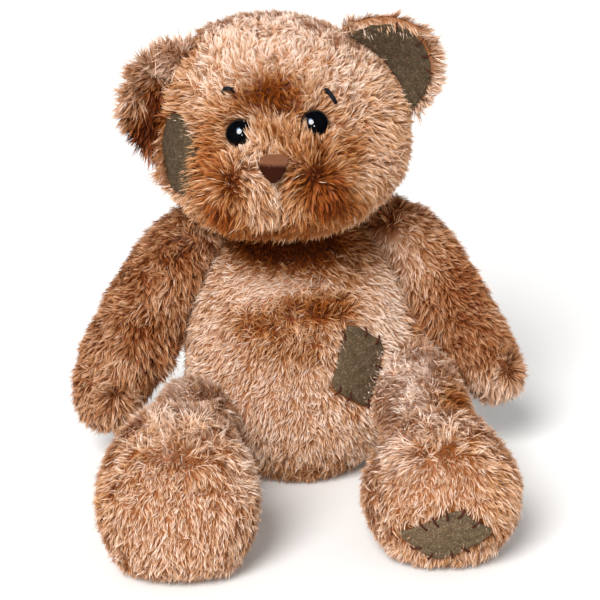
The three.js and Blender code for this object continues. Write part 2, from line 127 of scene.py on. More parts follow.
def welded(name, *cad_names):
    """A copy of CAD nodes as one mesh, with its loose triangles joined up."""
    joined = bmesh.new()
    for cad_name in cad_names:
        joined.from_mesh(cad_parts[cad_name].data)
    bmesh.ops.remove_doubles(joined, verts=joined.verts, dist=WELD)
    mesh = bpy.data.meshes.new(name)
    joined.to_mesh(mesh)
    joined.free()
    return linked(name, mesh)


def settled(piece):
    """Turns a piece's modifiers into plain mesh."""
    graph = bpy.context.evaluated_depsgraph_get()
    done = piece.evaluated_get(graph)
    mesh = bpy.data.meshes.new_from_object(done, preserve_all_data_layers=True, depsgraph=graph)
    piece.modifiers.clear()
    old = piece.data
    piece.data = mesh
    bpy.data.meshes.remove(old)
    return piece


def smooth_form(name, voxel, passes, *cad_names):
    """CAD nodes melted into one closed, rounded form, with a grain of so many mm."""
    form = welded(name, *cad_names)
    melt = form.modifiers.new("melt", "REMESH")
    melt.mode = "VOXEL"
    melt.voxel_size = voxel * MM
    relax = form.modifiers.new("relax", "SMOOTH")
    relax.factor = 0.5
    relax.iterations = passes
    return settled(form)


def points_of(piece):
    """The places, in mm, and the outward directions of a piece's points."""
    mesh = piece.data
    at = np.empty(len(mesh.vertices) * 3, np.float32)
    mesh.vertices.foreach_get("co", at)
    out = np.empty(len(mesh.vertices) * 3, np.float32)
    mesh.vertex_normals.foreach_get("vector", out)
    return at.reshape(-1, 3) / MM, out.reshape(-1, 3).astype(float)


def move_points(piece, at):
    """Puts a piece's points at these places, in mm."""
    piece.data.vertices.foreach_set("co", np.asarray(at * MM, np.float32).ravel())
    piece.data.update()


def grown(piece, by):
    """Moves a piece's surface outwards by so many mm."""
    at, out = points_of(piece)
    move_points(piece, at + out * by)
    return piece


def tree_of(cad_names):
    """A search tree over the faces of CAD nodes."""
    corners, rings = [], []
    for cad_name in cad_names:
        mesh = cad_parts[cad_name].data
        rings += [[k + len(corners) for k in face.vertices] for face in mesh.polygons]
        corners += [v.co.copy() for v in mesh.vertices]
    return BVHTree.FromPolygons(corners, rings)


# All in mm. The skin and the fill lie this far under the CAD's outer surface, and where two bags touch the
# skin comes right up to it.
SKIN_DEPTH, FILL_DEPTH, TOUCHING_DEPTH = 3.4, 6.6, 0.5
# The form's grain; how far outside the form a look for the surface starts, and how far in it goes; the most
# that one round moves a point; and how near the next bag has to be to touch.
FORM_VOXEL, FIT_REACH, FIT_LOOK, FIT_STEP, TOUCHING = 4.5, 14.0, 22.4, 5.0, 2.5
FIT_ROUNDS, FIT_SMOOTHING = 2, 3


def fitted(piece, cad_names, depth, neighbours):
    """Moves a form's surface to lie so many mm under the CAD's outer one, smoothly."""
    tree = tree_of(cad_names)
    others = tree_of(neighbours)
    for _ in range(FIT_ROUNDS):
        at, out = points_of(piece)
        push = np.zeros(len(at))
        for i, (spot, way) in enumerate(zip(at, out)):
            hit = tree.ray_cast(Vector(spot + way * FIT_REACH) * MM, -Vector(way), FIT_LOOK * MM)
            height = FIT_REACH - hit[3] / MM if hit[0] else depth
            touches = hit[0] and others.find_nearest(hit[0], TOUCHING * MM)[0]
            push[i] = min(max(height - (TOUCHING_DEPTH if touches else depth), -FIT_STEP), FIT_STEP)
        ends = np.array([edge.vertices[:] for edge in piece.data.edges])
        for _ in range(FIT_SMOOTHING):
            total, count = push.copy(), np.ones(len(push))
            np.add.at(total, ends[:, 0], push[ends[:, 1]])
            np.add.at(total, ends[:, 1], push[ends[:, 0]])
            np.add.at(count, ends.ravel(), 1)
            push = total / count
        move_points(piece, at + out * push[:, None])
    return piece


FILL = fibre_fill()
PANELS = {
    "head": ("head_gusset_panel", "head_left_panel", "head_right_panel", "head_back_panel")
    + ("muzzle_left_panel", "muzzle_right_panel"),
    "body": ("body_front_panel", "body_back_left_panel", "body_back_right_panel", "body_seat_panel"),
}
for side in ("left", "right"):
    PANELS["arm_" + side] = tuple(f"arm_{side}_{cut}_panel" for cut in ("front", "back"))
    PANELS["leg_" + side] = tuple(f"leg_{side}_{cut}_panel" for cut in ("sole", "outer", "inner"))
forms = {}
for part, cad_names in PANELS.items():
    neighbours = [cad_name for other, others in PANELS.items() if other != part for cad_name in others]
    form = smooth_form("skin_of_" + part, FORM_VOXEL, 5, part + "_stuffing")
    forms[part] = fitted(form, cad_names, SKIN_DEPTH, neighbours)
    fill = grown(linked("fibre_" + part, forms[part].data.copy()), SKIN_DEPTH - FILL_DEPTH)
    fill.data.materials.append(FILL)
    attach(fill, "root")
    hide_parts(part + "_stuffing")

# ---- Plush -------------------------------------------------------------------------------------
# The cloth of the whole bear: a knitted polyester backing with a silky acrylic pile, 5 to 10 mm long,
# that use has pressed into locks. A strand is dark at its root and pale at its tip, partly its own colour and
# partly painted sheen.


def blank_tree(name, result, inputs):
    """A Geometry Nodes tree with its inputs, listed by kind, and one geometry as its result."""
    tree = bpy.data.node_groups.new(name, "GeometryNodeTree")
    for kind, labels in inputs.items():
        for label in labels:
            tree.interface.new_socket(label, in_out="INPUT", socket_type="NodeSocket" + kind)
    tree.interface.new_socket(result, in_out="OUTPUT", socket_type="NodeSocketGeometry")
    return tree, node(tree, "NodeGroupInput").outputs


# The strands come up through the backing before they show. A patch, eye or nose clears the pile over it if
# it is within reach of the skin and no more than a little under it.
ROOT_LIFT, CLEARING_REACH, CLEARING_DEPTH = 0.65 * MM, 12 * MM, 0.8 * MM
# A tuft is three locks across, and the pile sways together over seven.
TUFTS_PER_LOCK, SWAYS_PER_LOCK = 0.3, 0.14
STRAIGHTEST, FLATTEST = 0.08, math.radians(84)
FLOOR_CLEARANCE = 0.2 * MM


def plush_pile():
    """The tree that grows strands on a panel of skin, in locks, as the panel's brushed fields say."""
    tree, given = blank_tree(
        "Plush pile",
        "Strands",
        {
            "Geometry": ("Skin",),
            "Object": ("Keep clear",),
            "Float": ("Clearance", "Strands per square metre", "Pile length", "Strand width", "Lock size")
            + ("Gather", "Extra lean", "Extra tone", "Bleached share"),
            "Int": ("Steps", "Seed"),
        },
    )
    seed = given["Seed"]
    read, store = "GeometryNodeInputNamedAttribute", "GeometryNodeStoreNamedAttribute"
    nap = node(tree, read, {0: "nap"}, data_type="FLOAT_VECTOR")
    lay = node(tree, read, {0: "lay"}, data_type="FLOAT")
    tone = node(tree, read, {0: "tone"}, data_type="FLOAT")
    pile = node(tree, read, {0: "pile"}, data_type="FLOAT")
    thick = node(tree, read, {0: "thick"}, data_type="FLOAT")

    # Roots, kept off the patches, eyes and nose: those that have one straight above or just beside them go.
    density = given["Strands per square metre"]
    density = node(tree, "ShaderNodeMath", {0: thick, 1: density}, operation="MULTIPLY")
    scattered = {"Mesh": given["Skin"], "Density": density, "Seed": seed}
    roots = node(tree, "GeometryNodeDistributePointsOnFaces", scattered)
    out = roots.outputs[1]
    hard = node(tree, "GeometryNodeObjectInfo", {0: given["Keep clear"]}, transform_space="RELATIVE")
    place = node(tree, "GeometryNodeInputPosition")
    gap = node(tree, "GeometryNodeProximity", {0: hard.outputs[4]}, target_element="FACES")
    over = node(tree, "ShaderNodeVectorMath", {0: gap.outputs[0], 1: place}, operation="SUBTRACT")
    above = node(tree, "ShaderNodeVectorMath", {0: over, 1: out}, operation="DOT_PRODUCT").outputs[1]
    straight_up = node(tree, "ShaderNodeVectorMath", {0: out, "Scale": above}, operation="SCALE")
    beside = node(tree, "ShaderNodeVectorMath", {0: over, 1: straight_up}, operation="SUBTRACT")
    beside = node(tree, "ShaderNodeVectorMath", {0: beside}, operation="LENGTH").outputs[1]
    under = node(tree, "FunctionNodeCompare", {0: beside, 1: given["Clearance"]}, operation="LESS_THAN")
    facing = node(tree, "FunctionNodeCompare", {0: above, 1: -CLEARING_DEPTH}, operation="GREATER_THAN")
    close = node(tree, "FunctionNodeCompare", {0: gap.outputs[1], 1: CLEARING_REACH}, operation="LESS_THAN")
    under = node(tree, "FunctionNodeBooleanMath", {0: under, 1: facing}, operation="AND")
    under = node(tree, "FunctionNodeBooleanMath", {0: under, 1: close}, operation="AND")
    kept = node(tree, "GeometryNodeDeleteGeometry", {0: roots.outputs[0], 1: under}, domain="POINT")
    through = node(tree, "ShaderNodeVectorMath", {0: out, "Scale": ROOT_LIFT}, operation="SCALE")
    kept = node(tree, "GeometryNodeSetPosition", {0: kept, 3: through})

    # Chance, from -0.5 to 0.5 three ways: one for each lock, tuft and sway, and one for each strand.
    scales = []
    for share in (1.0, TUFTS_PER_LOCK, SWAYS_PER_LOCK):
        scales.append(node(tree, "ShaderNodeMath", {0: share, 1: given["Lock size"]}, operation="DIVIDE"))
    lock = node(tree, "ShaderNodeTexVoronoi", {0: place, "Scale": scales[0]}, feature="F1")
    tuft = node(tree, "ShaderNodeTexVoronoi", {0: place, "Scale": scales[1]}, feature="F1")
    sway = node(tree, "ShaderNodeTexNoise", {0: place, "Scale": scales[2], "Detail": 1.0})
    half = (0.5, 0.5, 0.5)
    lock_luck, tuft_luck, sway_luck = (
        node(tree, "ShaderNodeVectorMath", {0: cells.outputs[1], 1: half}, operation="SUBTRACT")
        for cells in (lock, tuft, sway)
    )
    one_luck = node(
        tree, "FunctionNodeRandomValue", {0: (-0.5, -0.5, -0.5), 1: half, 8: seed}, data_type="FLOAT_VECTOR"
    )

    # The way a strand lies: the nap, bent by chance in these shares, and laid flat against the skin.
    way = nap
    for luck, share in ((sway_luck, 1.9), (tuft_luck, 1.0), (lock_luck, 1.3), (one_luck, 0.28)):
        way = node(tree, "ShaderNodeVectorMath", {0: luck, 1: (share,) * 3, 2: way}, operation="MULTIPLY_ADD")
    lift = node(tree, "ShaderNodeVectorMath", {0: way, 1: out}, operation="DOT_PRODUCT").outputs[1]
    sink = node(tree, "ShaderNodeVectorMath", {0: out, "Scale": lift}, operation="SCALE")
    flat = node(tree, "ShaderNodeVectorMath", {0: way, 1: sink}, operation="SUBTRACT")
    lie = node(tree, "ShaderNodeVectorMath", {0: flat}, operation="NORMALIZE")

    # How far it leans, from upright (0) to lying (1), and so how much of its length rises.
    tuft_parts = node(tree, "ShaderNodeSeparateXYZ", {0: tuft_luck})
    lock_parts = node(tree, "ShaderNodeSeparateXYZ", {0: lock_luck})
    one_parts = node(tree, "ShaderNodeSeparateXYZ", {0: one_luck})
    lean = node(tree, "ShaderNodeMath", {0: lay, 1: given["Extra lean"]}, operation="ADD")
    for parts, share in ((tuft_parts, 0.24), (lock_parts, 0.34), (one_parts, 0.1)):
        lean = node(tree, "ShaderNodeMath", {0: parts, 1: share, 2: lean}, operation="MULTIPLY_ADD")
    turn = node(tree, "ShaderNodeMapRange", {0: lean, "To Min": STRAIGHTEST, "To Max": FLATTEST})
    upright = node(tree, "ShaderNodeMath", {0: turn}, operation="COSINE")
    along = node(tree, "ShaderNodeMath", {0: turn}, operation="SINE")
    size = node(tree, "FunctionNodeRandomValue", {2: 0.72, 3: 1.12, 8: seed}, data_type="FLOAT")
    size = node(tree, "ShaderNodeMath", {0: size.outputs[1], 1: given["Pile length"]}, operation="MULTIPLY")
    size = node(tree, "ShaderNodeMath", {0: size, 1: pile}, operation="MULTIPLY")
    up_size = node(tree, "ShaderNodeMath", {0: upright, 1: size}, operation="MULTIPLY")
    along_size = node(tree, "ShaderNodeMath", {0: along, 1: size}, operation="MULTIPLY")
    rise = node(tree, "ShaderNodeVectorMath", {0: out, "Scale": up_size}, operation="SCALE")
    reach = node(tree, "ShaderNodeVectorMath", {0: lie, "Scale": along_size}, operation="SCALE")

    # The tips draw together towards the middle of their lock, and a tenth as much towards their tuft's.
    to_lock = node(tree, "ShaderNodeVectorMath", {0: lock.outputs[2], 1: place}, operation="SUBTRACT")
    to_tuft = node(tree, "ShaderNodeVectorMath", {0: tuft.outputs[2], 1: place}, operation="SUBTRACT")
    to_tuft = node(tree, "ShaderNodeVectorMath", {0: to_tuft, "Scale": 0.1}, operation="SCALE")
    # Short pile draws together less.
    bunch = node(tree, "ShaderNodeMath", {0: pile, 1: 0.5, 2: 0.5}, operation="MULTIPLY_ADD")
    bunch = node(tree, "ShaderNodeMath", {0: bunch, 1: given["Gather"]}, operation="MULTIPLY")
    bunch = node(tree, "ShaderNodeMath", {0: bunch, 1: 1.0}, operation="MINIMUM")
    to_lock = node(tree, "ShaderNodeVectorMath", {0: to_lock, "Scale": bunch}, operation="SCALE")
    gather = node(tree, "ShaderNodeVectorMath", {0: to_lock, 1: to_tuft}, operation="ADD")

    # Its flat side faces outwards, give or take a twist, so that it catches the light. Short pile is slimmer.
    course = node(tree, "ShaderNodeVectorMath", {0: rise, 1: reach}, operation="ADD")
    across = node(tree, "ShaderNodeVectorMath", {0: lie, 1: out}, operation="CROSS_PRODUCT")
    twist = node(tree, "FunctionNodeRandomValue", {2: -0.9, 3: 0.9, 8: seed}, data_type="FLOAT")
    twisted = {0: across, 2: course, 3: twist.outputs[1]}
    across = node(tree, "ShaderNodeVectorRotate", twisted, rotation_type="AXIS_ANGLE")
    slim = node(tree, "ShaderNodeMath", {0: pile, 1: 0.6, 2: 0.4}, operation="MULTIPLY_ADD")
    slim = node(tree, "ShaderNodeMath", {0: slim, 1: given["Strand width"]}, operation="MULTIPLY")
    side = node(tree, "ShaderNodeVectorMath", {0: across, "Scale": slim}, operation="SCALE")

    # Its tint, from the region's tone and its luck. Dark places are even, pale ones vary more, and a few
    # strands there are painted near white as glints.
    tint = node(tree, "ShaderNodeMath", {0: tone, 1: given["Extra tone"]}, operation="ADD")
    swing = node(tree, "ShaderNodeMath", {0: tone, 1: 1.1, 2: 0.22}, operation="MULTIPLY_ADD")
    swing = node(tree, "ShaderNodeMath", {0: swing, 1: 0.76}, operation="MINIMUM")
    for parts, share in ((tuft_parts, 0.18), (lock_parts, 0.4), (one_parts, 0.42)):
        change = node(tree, "ShaderNodeMath", {0: parts.outputs[1], 1: share}, operation="MULTIPLY")
        tint = node(tree, "ShaderNodeMath", {0: change, 1: swing, 2: tint}, operation="MULTIPLY_ADD")
    glint_odds_and_height_tint = node(tree, "ShaderNodeMath", {0: tone, 1: given["Bleached share"]}, operation="MULTIPLY")
    odd = node(tree, "FunctionNodeRandomValue", {6: glint_odds_and_height_tint, 8: seed}, data_type="BOOLEAN")
    any_tint = node(tree, "FunctionNodeRandomValue", {2: 0.55, 3: 1.0, 8: seed}, data_type="FLOAT")
    tint = node(
        tree, "GeometryNodeSwitch", {0: odd.outputs[3], 1: tint, 2: any_tint.outputs[1]}, input_type="FLOAT"
    )
    tint = node(tree, "ShaderNodeClamp", {0: tint, 1: 0.012, 2: 0.988})

    held = kept
    for name, kind, value in (
        ("strand_rise", "FLOAT_VECTOR", rise),
        ("strand_reach", "FLOAT_VECTOR", reach),
        ("strand_gather", "FLOAT_VECTOR", gather),
        ("strand_side", "FLOAT_VECTOR", side),
        ("strand_tint", "FLOAT", tint),
    ):
        held = node(tree, store, {0: held, 2: name, 3: value}, data_type=kind, domain="POINT")

    # One strand: a ribbon, laid out along and across, whose far end is drawn to a point. With Steps 2 it is
    # one straight triangle, and with 3 it can bend once.
    strip = node(tree, "GeometryNodeMeshGrid", {0: 1.0, 1: 1.0, 2: 2, 3: given["Steps"]})
    spot = node(tree, "ShaderNodeSeparateXYZ", {0: node(tree, "GeometryNodeInputPosition")})
    step = node(tree, "ShaderNodeMath", {0: spot.outputs[1], 1: 0.5}, operation="ADD")
    body = node(tree, "ShaderNodeMath", {0: step, 1: 0.99}, operation="LESS_THAN")
    tapered = node(tree, "ShaderNodeMath", {0: body, 1: spot.outputs[0]}, operation="MULTIPLY")
    pointed = node(tree, "ShaderNodeCombineXYZ", {0: tapered, 1: step})
    shaped = node(tree, "GeometryNodeSetPosition", {0: strip, 2: pointed})
    shaped = node(tree, "GeometryNodeMergeByDistance", {0: shaped, 2: 0.01})
    for name, value in (("strand_across", spot.outputs[0]), ("strand_along", spot.outputs[1])):
        shaped = node(tree, store, {0: shaped, 2: name, 3: value}, data_type="FLOAT", domain="POINT")
    speck = node(tree, "GeometryNodeSetPosition", {0: shaped, 2: node(tree, "ShaderNodeCombineXYZ")})
    strands = node(tree, "GeometryNodeInstanceOnPoints", {0: held, 2: speck})
    strands = node(tree, "GeometryNodeRealizeInstances", {0: strands})

    # Each strand, set out from its root: it rises fast and then bows over, and its tip is drawn to its lock.
    v = node(tree, read, {0: "strand_along"}, data_type="FLOAT")
    w = node(tree, read, {0: "strand_across"}, data_type="FLOAT")
    v_rise = node(tree, "ShaderNodeMath", {0: v, 1: -0.35, 2: 1.35}, operation="MULTIPLY_ADD")
    v_rise = node(tree, "ShaderNodeMath", {0: v_rise, 1: v}, operation="MULTIPLY")
    v_reach = node(tree, "ShaderNodeMath", {0: v, 1: 1.6}, operation="POWER")
    v_gather = node(tree, "ShaderNodeMath", {0: v, 1: 1.3}, operation="POWER")
    shift = None
    for name, share in (
        ("strand_rise", v_rise),
        ("strand_reach", v_reach),
        ("strand_gather", v_gather),
        ("strand_side", w),
    ):
        pull = node(tree, read, {0: name}, data_type="FLOAT_VECTOR")
        pull = node(tree, "ShaderNodeVectorMath", {0: pull, "Scale": share}, operation="SCALE")
        shift = node(tree, "ShaderNodeVectorMath", {0: shift, 1: pull}, operation="ADD") if shift else pull
    strands = node(tree, "GeometryNodeSetPosition", {0: strands, 3: shift})
    rest = node(tree, "ShaderNodeSeparateXYZ", {0: place})
    above_floor = node(tree, "ShaderNodeMath", {0: rest.outputs[2], 1: FLOOR_CLEARANCE}, operation="MAXIMUM")
    # What the floor presses flat, and then the cloth's colour map: tint across it, and root to tip up it.
    pressed_flat = {0: rest.outputs[0], 1: rest.outputs[1], 2: above_floor}
    pressed_flat = node(tree, "ShaderNodeCombineXYZ", pressed_flat)
    strands = node(tree, "GeometryNodeSetPosition", {0: strands, 2: pressed_flat})
    u = node(tree, "ShaderNodeMath", {0: w, 1: 0.02}, operation="MULTIPLY")
    own_tint = node(tree, read, {0: "strand_tint"}, data_type="FLOAT")
    u = node(tree, "ShaderNodeMath", {0: u, 1: own_tint}, operation="ADD")
    up = node(tree, "ShaderNodeMath", {0: v, 1: 0.94, 2: 0.04}, operation="MULTIPLY_ADD")
    tint_spot = node(tree, "ShaderNodeCombineXYZ", {0: u, 1: up})
    strands = node(tree, store, {0: strands, 2: "OFBake", 3: tint_spot}, data_type="FLOAT2", domain="CORNER")

    node(tree, "NodeGroupOutput", {0: strands})
    return tree


def plush_cloth(pile):
    """The tree that makes a panel of skin plush: a closed backing, a fine under pile, and longer strands."""
    tree, given = blank_tree(
        "Plush cloth",
        "Cloth",
        {
            "Geometry": ("Skin",),
            "Object": ("Keep clear",),
            "Float": ("Clearance", "Under strands per square metre", "Over strands per square metre")
            + ("Pile length", "Strand width", "Lock size", "Backing thickness"),
            "Int": ("Seed",),
            "Material": ("Plush",),
        },
    )
    shared = {label: given[label] for label in ("Skin", "Keep clear", "Clearance", "Lock size", "Seed")}
    shorter = node(tree, "ShaderNodeMath", {0: given["Pile length"], 1: 0.8}, operation="MULTIPLY")
    wider = node(tree, "ShaderNodeMath", {0: given["Strand width"], 1: 1.15}, operation="MULTIPLY")
    under = {
        "Strands per square metre": given["Under strands per square metre"],
        "Pile length": shorter,
        "Strand width": wider,
        "Gather": 0.35,
        "Extra lean": 0.05,
        "Extra tone": -0.07,
        "Bleached share": 0.01,
        "Steps": 2,
    }
    over = {
        "Strands per square metre": given["Over strands per square metre"],
        "Pile length": given["Pile length"],
        "Strand width": given["Strand width"],
        "Gather": 1.0,
        "Extra lean": 0.05,
        "Extra tone": 0.06,
        "Bleached share": 0.04,
        "Steps": 3,
    }
    under = node(tree, "GeometryNodeGroup", {**shared, **under}, node_tree=pile)
    over = node(tree, "GeometryNodeGroup", {**shared, **over}, node_tree=pile)

    # The backing: the skin with a wall of its own, closed all round.
    thickness = given["Backing thickness"]
    wall = node(tree, "GeometryNodeExtrudeMesh", {0: given["Skin"], 3: thickness, 4: False}, mode="FACES")
    inner = node(tree, "GeometryNodeFlipFaces", {0: given["Skin"]})
    backing = node(tree, "GeometryNodeJoinGeometry", {0: wall})
    tree.links.new(inner.outputs[0], backing.inputs[0])
    backing = node(tree, "GeometryNodeMergeByDistance", {0: backing, 2: WELD})
    # Its colour is from the dark foot of the map, and darker than its region's pile.
    tone = node(tree, "GeometryNodeInputNamedAttribute", {0: "tone"}, data_type="FLOAT")
    weave = node(tree, "FunctionNodeRandomValue", {2: 0.02, 3: 0.1, 8: given["Seed"]}, data_type="FLOAT")
    u = node(tree, "ShaderNodeMath", {0: tone, 1: tone, 2: weave.outputs[1]}, operation="MULTIPLY_ADD")
    u = node(tree, "ShaderNodeMath", {0: u, 1: 0.97}, operation="MINIMUM")
    up = node(tree, "FunctionNodeRandomValue", {2: 0.002, 3: 0.028, 8: 7}, data_type="FLOAT")
    tint_spot = node(tree, "ShaderNodeCombineXYZ", {0: u, 1: up.outputs[1]})
    store = "GeometryNodeStoreNamedAttribute"
    backing = node(tree, store, {0: backing, 2: "OFBake", 3: tint_spot}, data_type="FLOAT2", domain="CORNER")
    cloth = node(tree, "GeometryNodeJoinGeometry", {0: backing})
    tree.links.new(under.outputs[0], cloth.inputs[0])
    tree.links.new(over.outputs[0], cloth.inputs[0])
    cloth = node(tree, "GeometryNodeSetShadeSmooth", {0: cloth})
    cloth = node(tree, "GeometryNodeSetMaterial", {0: cloth, 2: given["Plush"]})
    node(tree, "NodeGroupOutput", {0: cloth})
    return tree


def plush_material(name, roots, tips):
    """Acrylic plush: silky, so it glints along the strand, and its colour goes from a dark root to a pale
    tip, the pale tips partly painted sheen.
    """
    material, tree = blank_material(name)
    strand = node(tree, "ShaderNodeSeparateXYZ", {0: node(tree, "ShaderNodeUVMap", uv_map="OFBake")})
    # Each ramp runs evenly from the darkest tint to the palest.
    shades = []
    for codes in (roots, tips):
        ramp = node(tree, "ShaderNodeValToRGB", {0: strand.outputs[0]})
        marks = ramp.color_ramp.elements
        while len(marks) < len(codes):
            marks.new(0.5)
        for i, code in enumerate(codes):
            marks[i].position = i / (len(codes) - 1)
            marks[i].color = linear(code)
        shades.append(ramp)
    fade = node(tree, "ShaderNodeMapRange", {0: strand.outputs[1], "From Min": 0.1, "From Max": 0.85})
    shade = node(tree, "ShaderNodeMix", {0: fade, 6: shades[0], 7: shades[1]}, data_type="RGBA")
    silk = node(tree, "ShaderNodeBsdfPrincipled", {"Base Color": shade.outputs[2]})
    silk.inputs["Roughness"].default_value = 0.45
    silk.inputs["Specular IOR Level"].default_value = 0.12
    silk.inputs["IOR"].default_value = 1.5
    silk.inputs["Sheen Weight"].default_value = 0.02
    silk.inputs["Sheen Roughness"].default_value = 0.4
    node(tree, "ShaderNodeOutputMaterial", {0: silk})
    return material


PLUSH_CLOTH = plush_cloth(plush_pile())
# The pale end of each tip ramp is partly painted sheen, and its near-white end painted glints.
TAN_PLUSH = plush_material(
    "Tan acrylic plush",
    ("#3A1202", "#6A2D08", "#8F5226", "#B88460", "#DBB698"),
    ("#80360B", "#AE5E20", "#D49C68", "#F0CBAC", "#FFF0E4"),
)
BROWN_PLUSH = plush_material(
    "Brown acrylic plush",
    ("#340F02", "#5E2807", "#824924", "#A87550", "#CAA082"),
    ("#5C2408", "#9A4E1C", "#C58C5E", "#E2B896", "#FAE0CC"),
)


def near(at, centre, reach):
    """1 at a centre and in most of a reach round it, both in mm, and fading to nothing past that."""
    gap = (at - np.array(centre, float)) / np.array(reach, float)
    return np.exp(-((gap**2).sum(1) ** 1.5))


# A spot's tone is partly the plush's own colour and partly painted light: pale as the sheen where the pile
# lies flat and catches the light, dark as the shade where it stands up and one sees into it.
def comb(groom, at, centre, reach, way=None, lay=None, tone=None, pile=None, thick=None):
    """Brushes one spot: the way its pile lies, how flat and how pale (0 to 1), how long and how close."""
    share = near(at, centre, reach)
    for name, value in (("nap", way), ("lay", lay), ("tone", tone), ("pile", pile), ("thick", thick)):
        if value is not None:
            mix = share[:, None] if name == "nap" else share
            groom[name] = groom[name] * (1 - mix) + np.array(value) * mix


def unit(way):
    """Directions, made one long."""
    return way / np.maximum(np.linalg.norm(way, axis=1, keepdims=True), 1e-6)


# How firmly the pile falls away from a spot or a line that opens, against its own sway.
FALL = 1.6


def burst(groom, at, centre, reach, tone):
    """A spot that stands straight up and falls away all round, so that one looks into its depth, painted in
    the given tone, where a dark tone is painted shade deep in the pile.
    """
    away = unit(at - np.array(centre, float)) * FALL
    comb(groom, at, centre, np.array(reach) * 1.8, way=away, lay=0.75)
    comb(groom, at, centre, reach, lay=0.18, tone=tone)
    groom["thick"] = groom["thick"] + 0.35 * near(at, centre, reach)


def parting(groom, at, centre, reach, tone):
    """A level line across the pile, from which it falls up above it and down below it."""
    above = np.tanh((at[:, 2] - centre[2]) / 3)
    fall = np.stack([(at[:, 0] - centre[0]) * 0.02, 0 * above, above], 1) * FALL
    comb(groom, at, centre, np.array(reach) * np.array([1.3, 1.5, 2.2]), way=fall)
    comb(groom, at, centre, reach, lay=0.25, tone=tone)


def closest_panels(form, cad_names):
    """For each face of a form, which CAD panel it lies under."""
    trees = [tree_of([cad_name]) for cad_name in cad_names]
    owner = []
    for face in form.data.polygons:
        gaps = [tree.find_nearest(face.center)[3] or 1.0 for tree in trees]
        owner.append(gaps.index(min(gaps)))
    return np.array(owner)


def through(piece, tree, settings):
    """Puts a piece through a Geometry Nodes tree with its inputs set, and keeps the result as plain mesh."""
    step = piece.modifiers.new(tree.name, "NODES")
    step.node_group = tree
    for socket in tree.interface.items_tree:
        if socket.in_out == "INPUT" and socket.name in settings:
            step[socket.identifier] = settings[socket.name]
    return settled(piece)


# How deep a seam pulls the cloth in, in mm.
SEAM_DEPTH = 1.2
# Strands to the square metre. Real plush has many more, and finer, so each of these stands for a wisp.
UNDER_DENSITY, OVER_DENSITY = 2.7e6, 0.84e6


def sew(form, groom, cad_names, keep_clear, plush, seed, lock_size=2.0 * MM):
    """Cuts a form's skin into its panels, pulls it in along their seams, and gives each its plush."""
    owner = closest_panels(form, cad_names) if len(cad_names) > 1 else np.zeros(len(form.data.polygons), int)
    at, out = points_of(form)
    lowest = np.full(len(at), 99)
    highest = np.full(len(at), -1)
    corners = [list(face.vertices) for face in form.data.polygons]
    for ring, mine in zip(corners, owner):
        lowest[ring] = np.minimum(lowest[ring], mine)
        highest[ring] = np.maximum(highest[ring], mine)
    seam = (lowest != highest) & (highest >= 0)
    at = at - out * (seam * SEAM_DEPTH)[:, None]
    for i, cad_name in enumerate(cad_names):
        mine = [ring for ring, who in zip(corners, owner) if who == i]
        used = np.unique(np.concatenate(mine))
        fresh = {int(old): new for new, old in enumerate(used)}
        name = "plush_" + cad_name.removesuffix("_panel")
        mesh = bpy.data.meshes.new(name)
        mesh.from_pydata((at[used] * MM).tolist(), [], [[fresh[k] for k in ring] for ring in mine])
        for key, values in groom.items():
            kind = "FLOAT_VECTOR" if values.ndim == 2 else "FLOAT"
            field = mesh.attributes.new(key, kind, "POINT")
            ending = "vector" if values.ndim == 2 else "value"
            field.data.foreach_set(ending, values[used].astype(np.float32).ravel())
        settings = {
            "Keep clear": keep_clear,
            "Clearance": 0.6 * MM,
            "Under strands per square metre": UNDER_DENSITY,
            "Over strands per square metre": OVER_DENSITY,
            "Pile length": 7.4 * MM,
            "Strand width": 0.41 * MM,
            "Lock size": lock_size,
            "Backing thickness": 0.8 * MM,
            "Seed": seed + i,
            "Plush": plush,
        }
        piece = through(linked(name, mesh), PLUSH_CLOTH, settings)
        piece.data.materials.clear()
        piece.data.materials.append(plush)
        spare = [a.name for a in piece.data.attributes if a.name.startswith("strand_") or a.name in groom]
        for key in spare:
            piece.data.attributes.remove(piece.data.attributes[key])
        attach(piece, "root")
        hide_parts(cad_name)
    bpy.data.objects.remove(form)


def hard_parts(name, *cad_names):
    """What the pile is kept off: the CAD nodes that lie on the cloth, as one object that isn't rendered."""
    hard = welded(name, *cad_names)
    hard.hide_render = True
    return hard


# How flat the pile lies along the edge of a patch.
PATCH_LAY = 0.42


def stand_round(groom, at, cad_name, margin):
    """Lifts the pile within so many mm of a patch, where the stitches that hold its edge push it up."""
    rough = welded("copy", cad_name)
    spots, _ = points_of(rough)
    bpy.data.objects.remove(rough)
    gap = np.array([np.linalg.norm(spots - spot, axis=1).min() for spot in at])
    share = np.exp(-((gap / margin) ** 4))
    groom["lay"] = groom["lay"] * (1 - share) + PATCH_LAY * share


# ---- Head --------------------------------------------------------------------------------------
# A ball of tan plush in six panels: a gusset over the forehead, two sides, a back, and the two
# halves of the muzzle, which bulge on both sides of the seam under the nose.

# Places, reaches and heights here are in mm, on the bear as it sits: x to its left, y to its back, z up.
NOSE = (-13, -80, 177)
LEFT_LOBE, RIGHT_LOBE = (8, -79, 171), (-33, -74, 169)
at, out = points_of(forms["head"])
# The lobes, the ledge over the nose and the side of the crown stand out.
bulge = 3.0 * near(at, LEFT_LOBE, (14, 16, 14)) + 3.0 * near(at, RIGHT_LOBE, (12, 16, 14))
bulge += 2.0 * near(at, (-12, -70, 187), (20, 14, 5)) + 2.6 * near(at, (-44, -24, 224), (20, 28, 14))
# The seam under the nose, the one over the ledge and the backs of both lobes are drawn in.
crease = 3.4 * near(at, (-11, -82, 156), (4, 20, 15)) + 1.6 * near(at, (-12, -64, 194), (14, 12, 4))
crease += 2.2 * near(at, (-49, -52, 160), (4, 14, 14)) + 1.8 * near(at, (26, -64, 168), (5, 14, 14))
move_points(forms["head"], at + out * (bulge - crease)[:, None])
at, out = points_of(forms["head"])
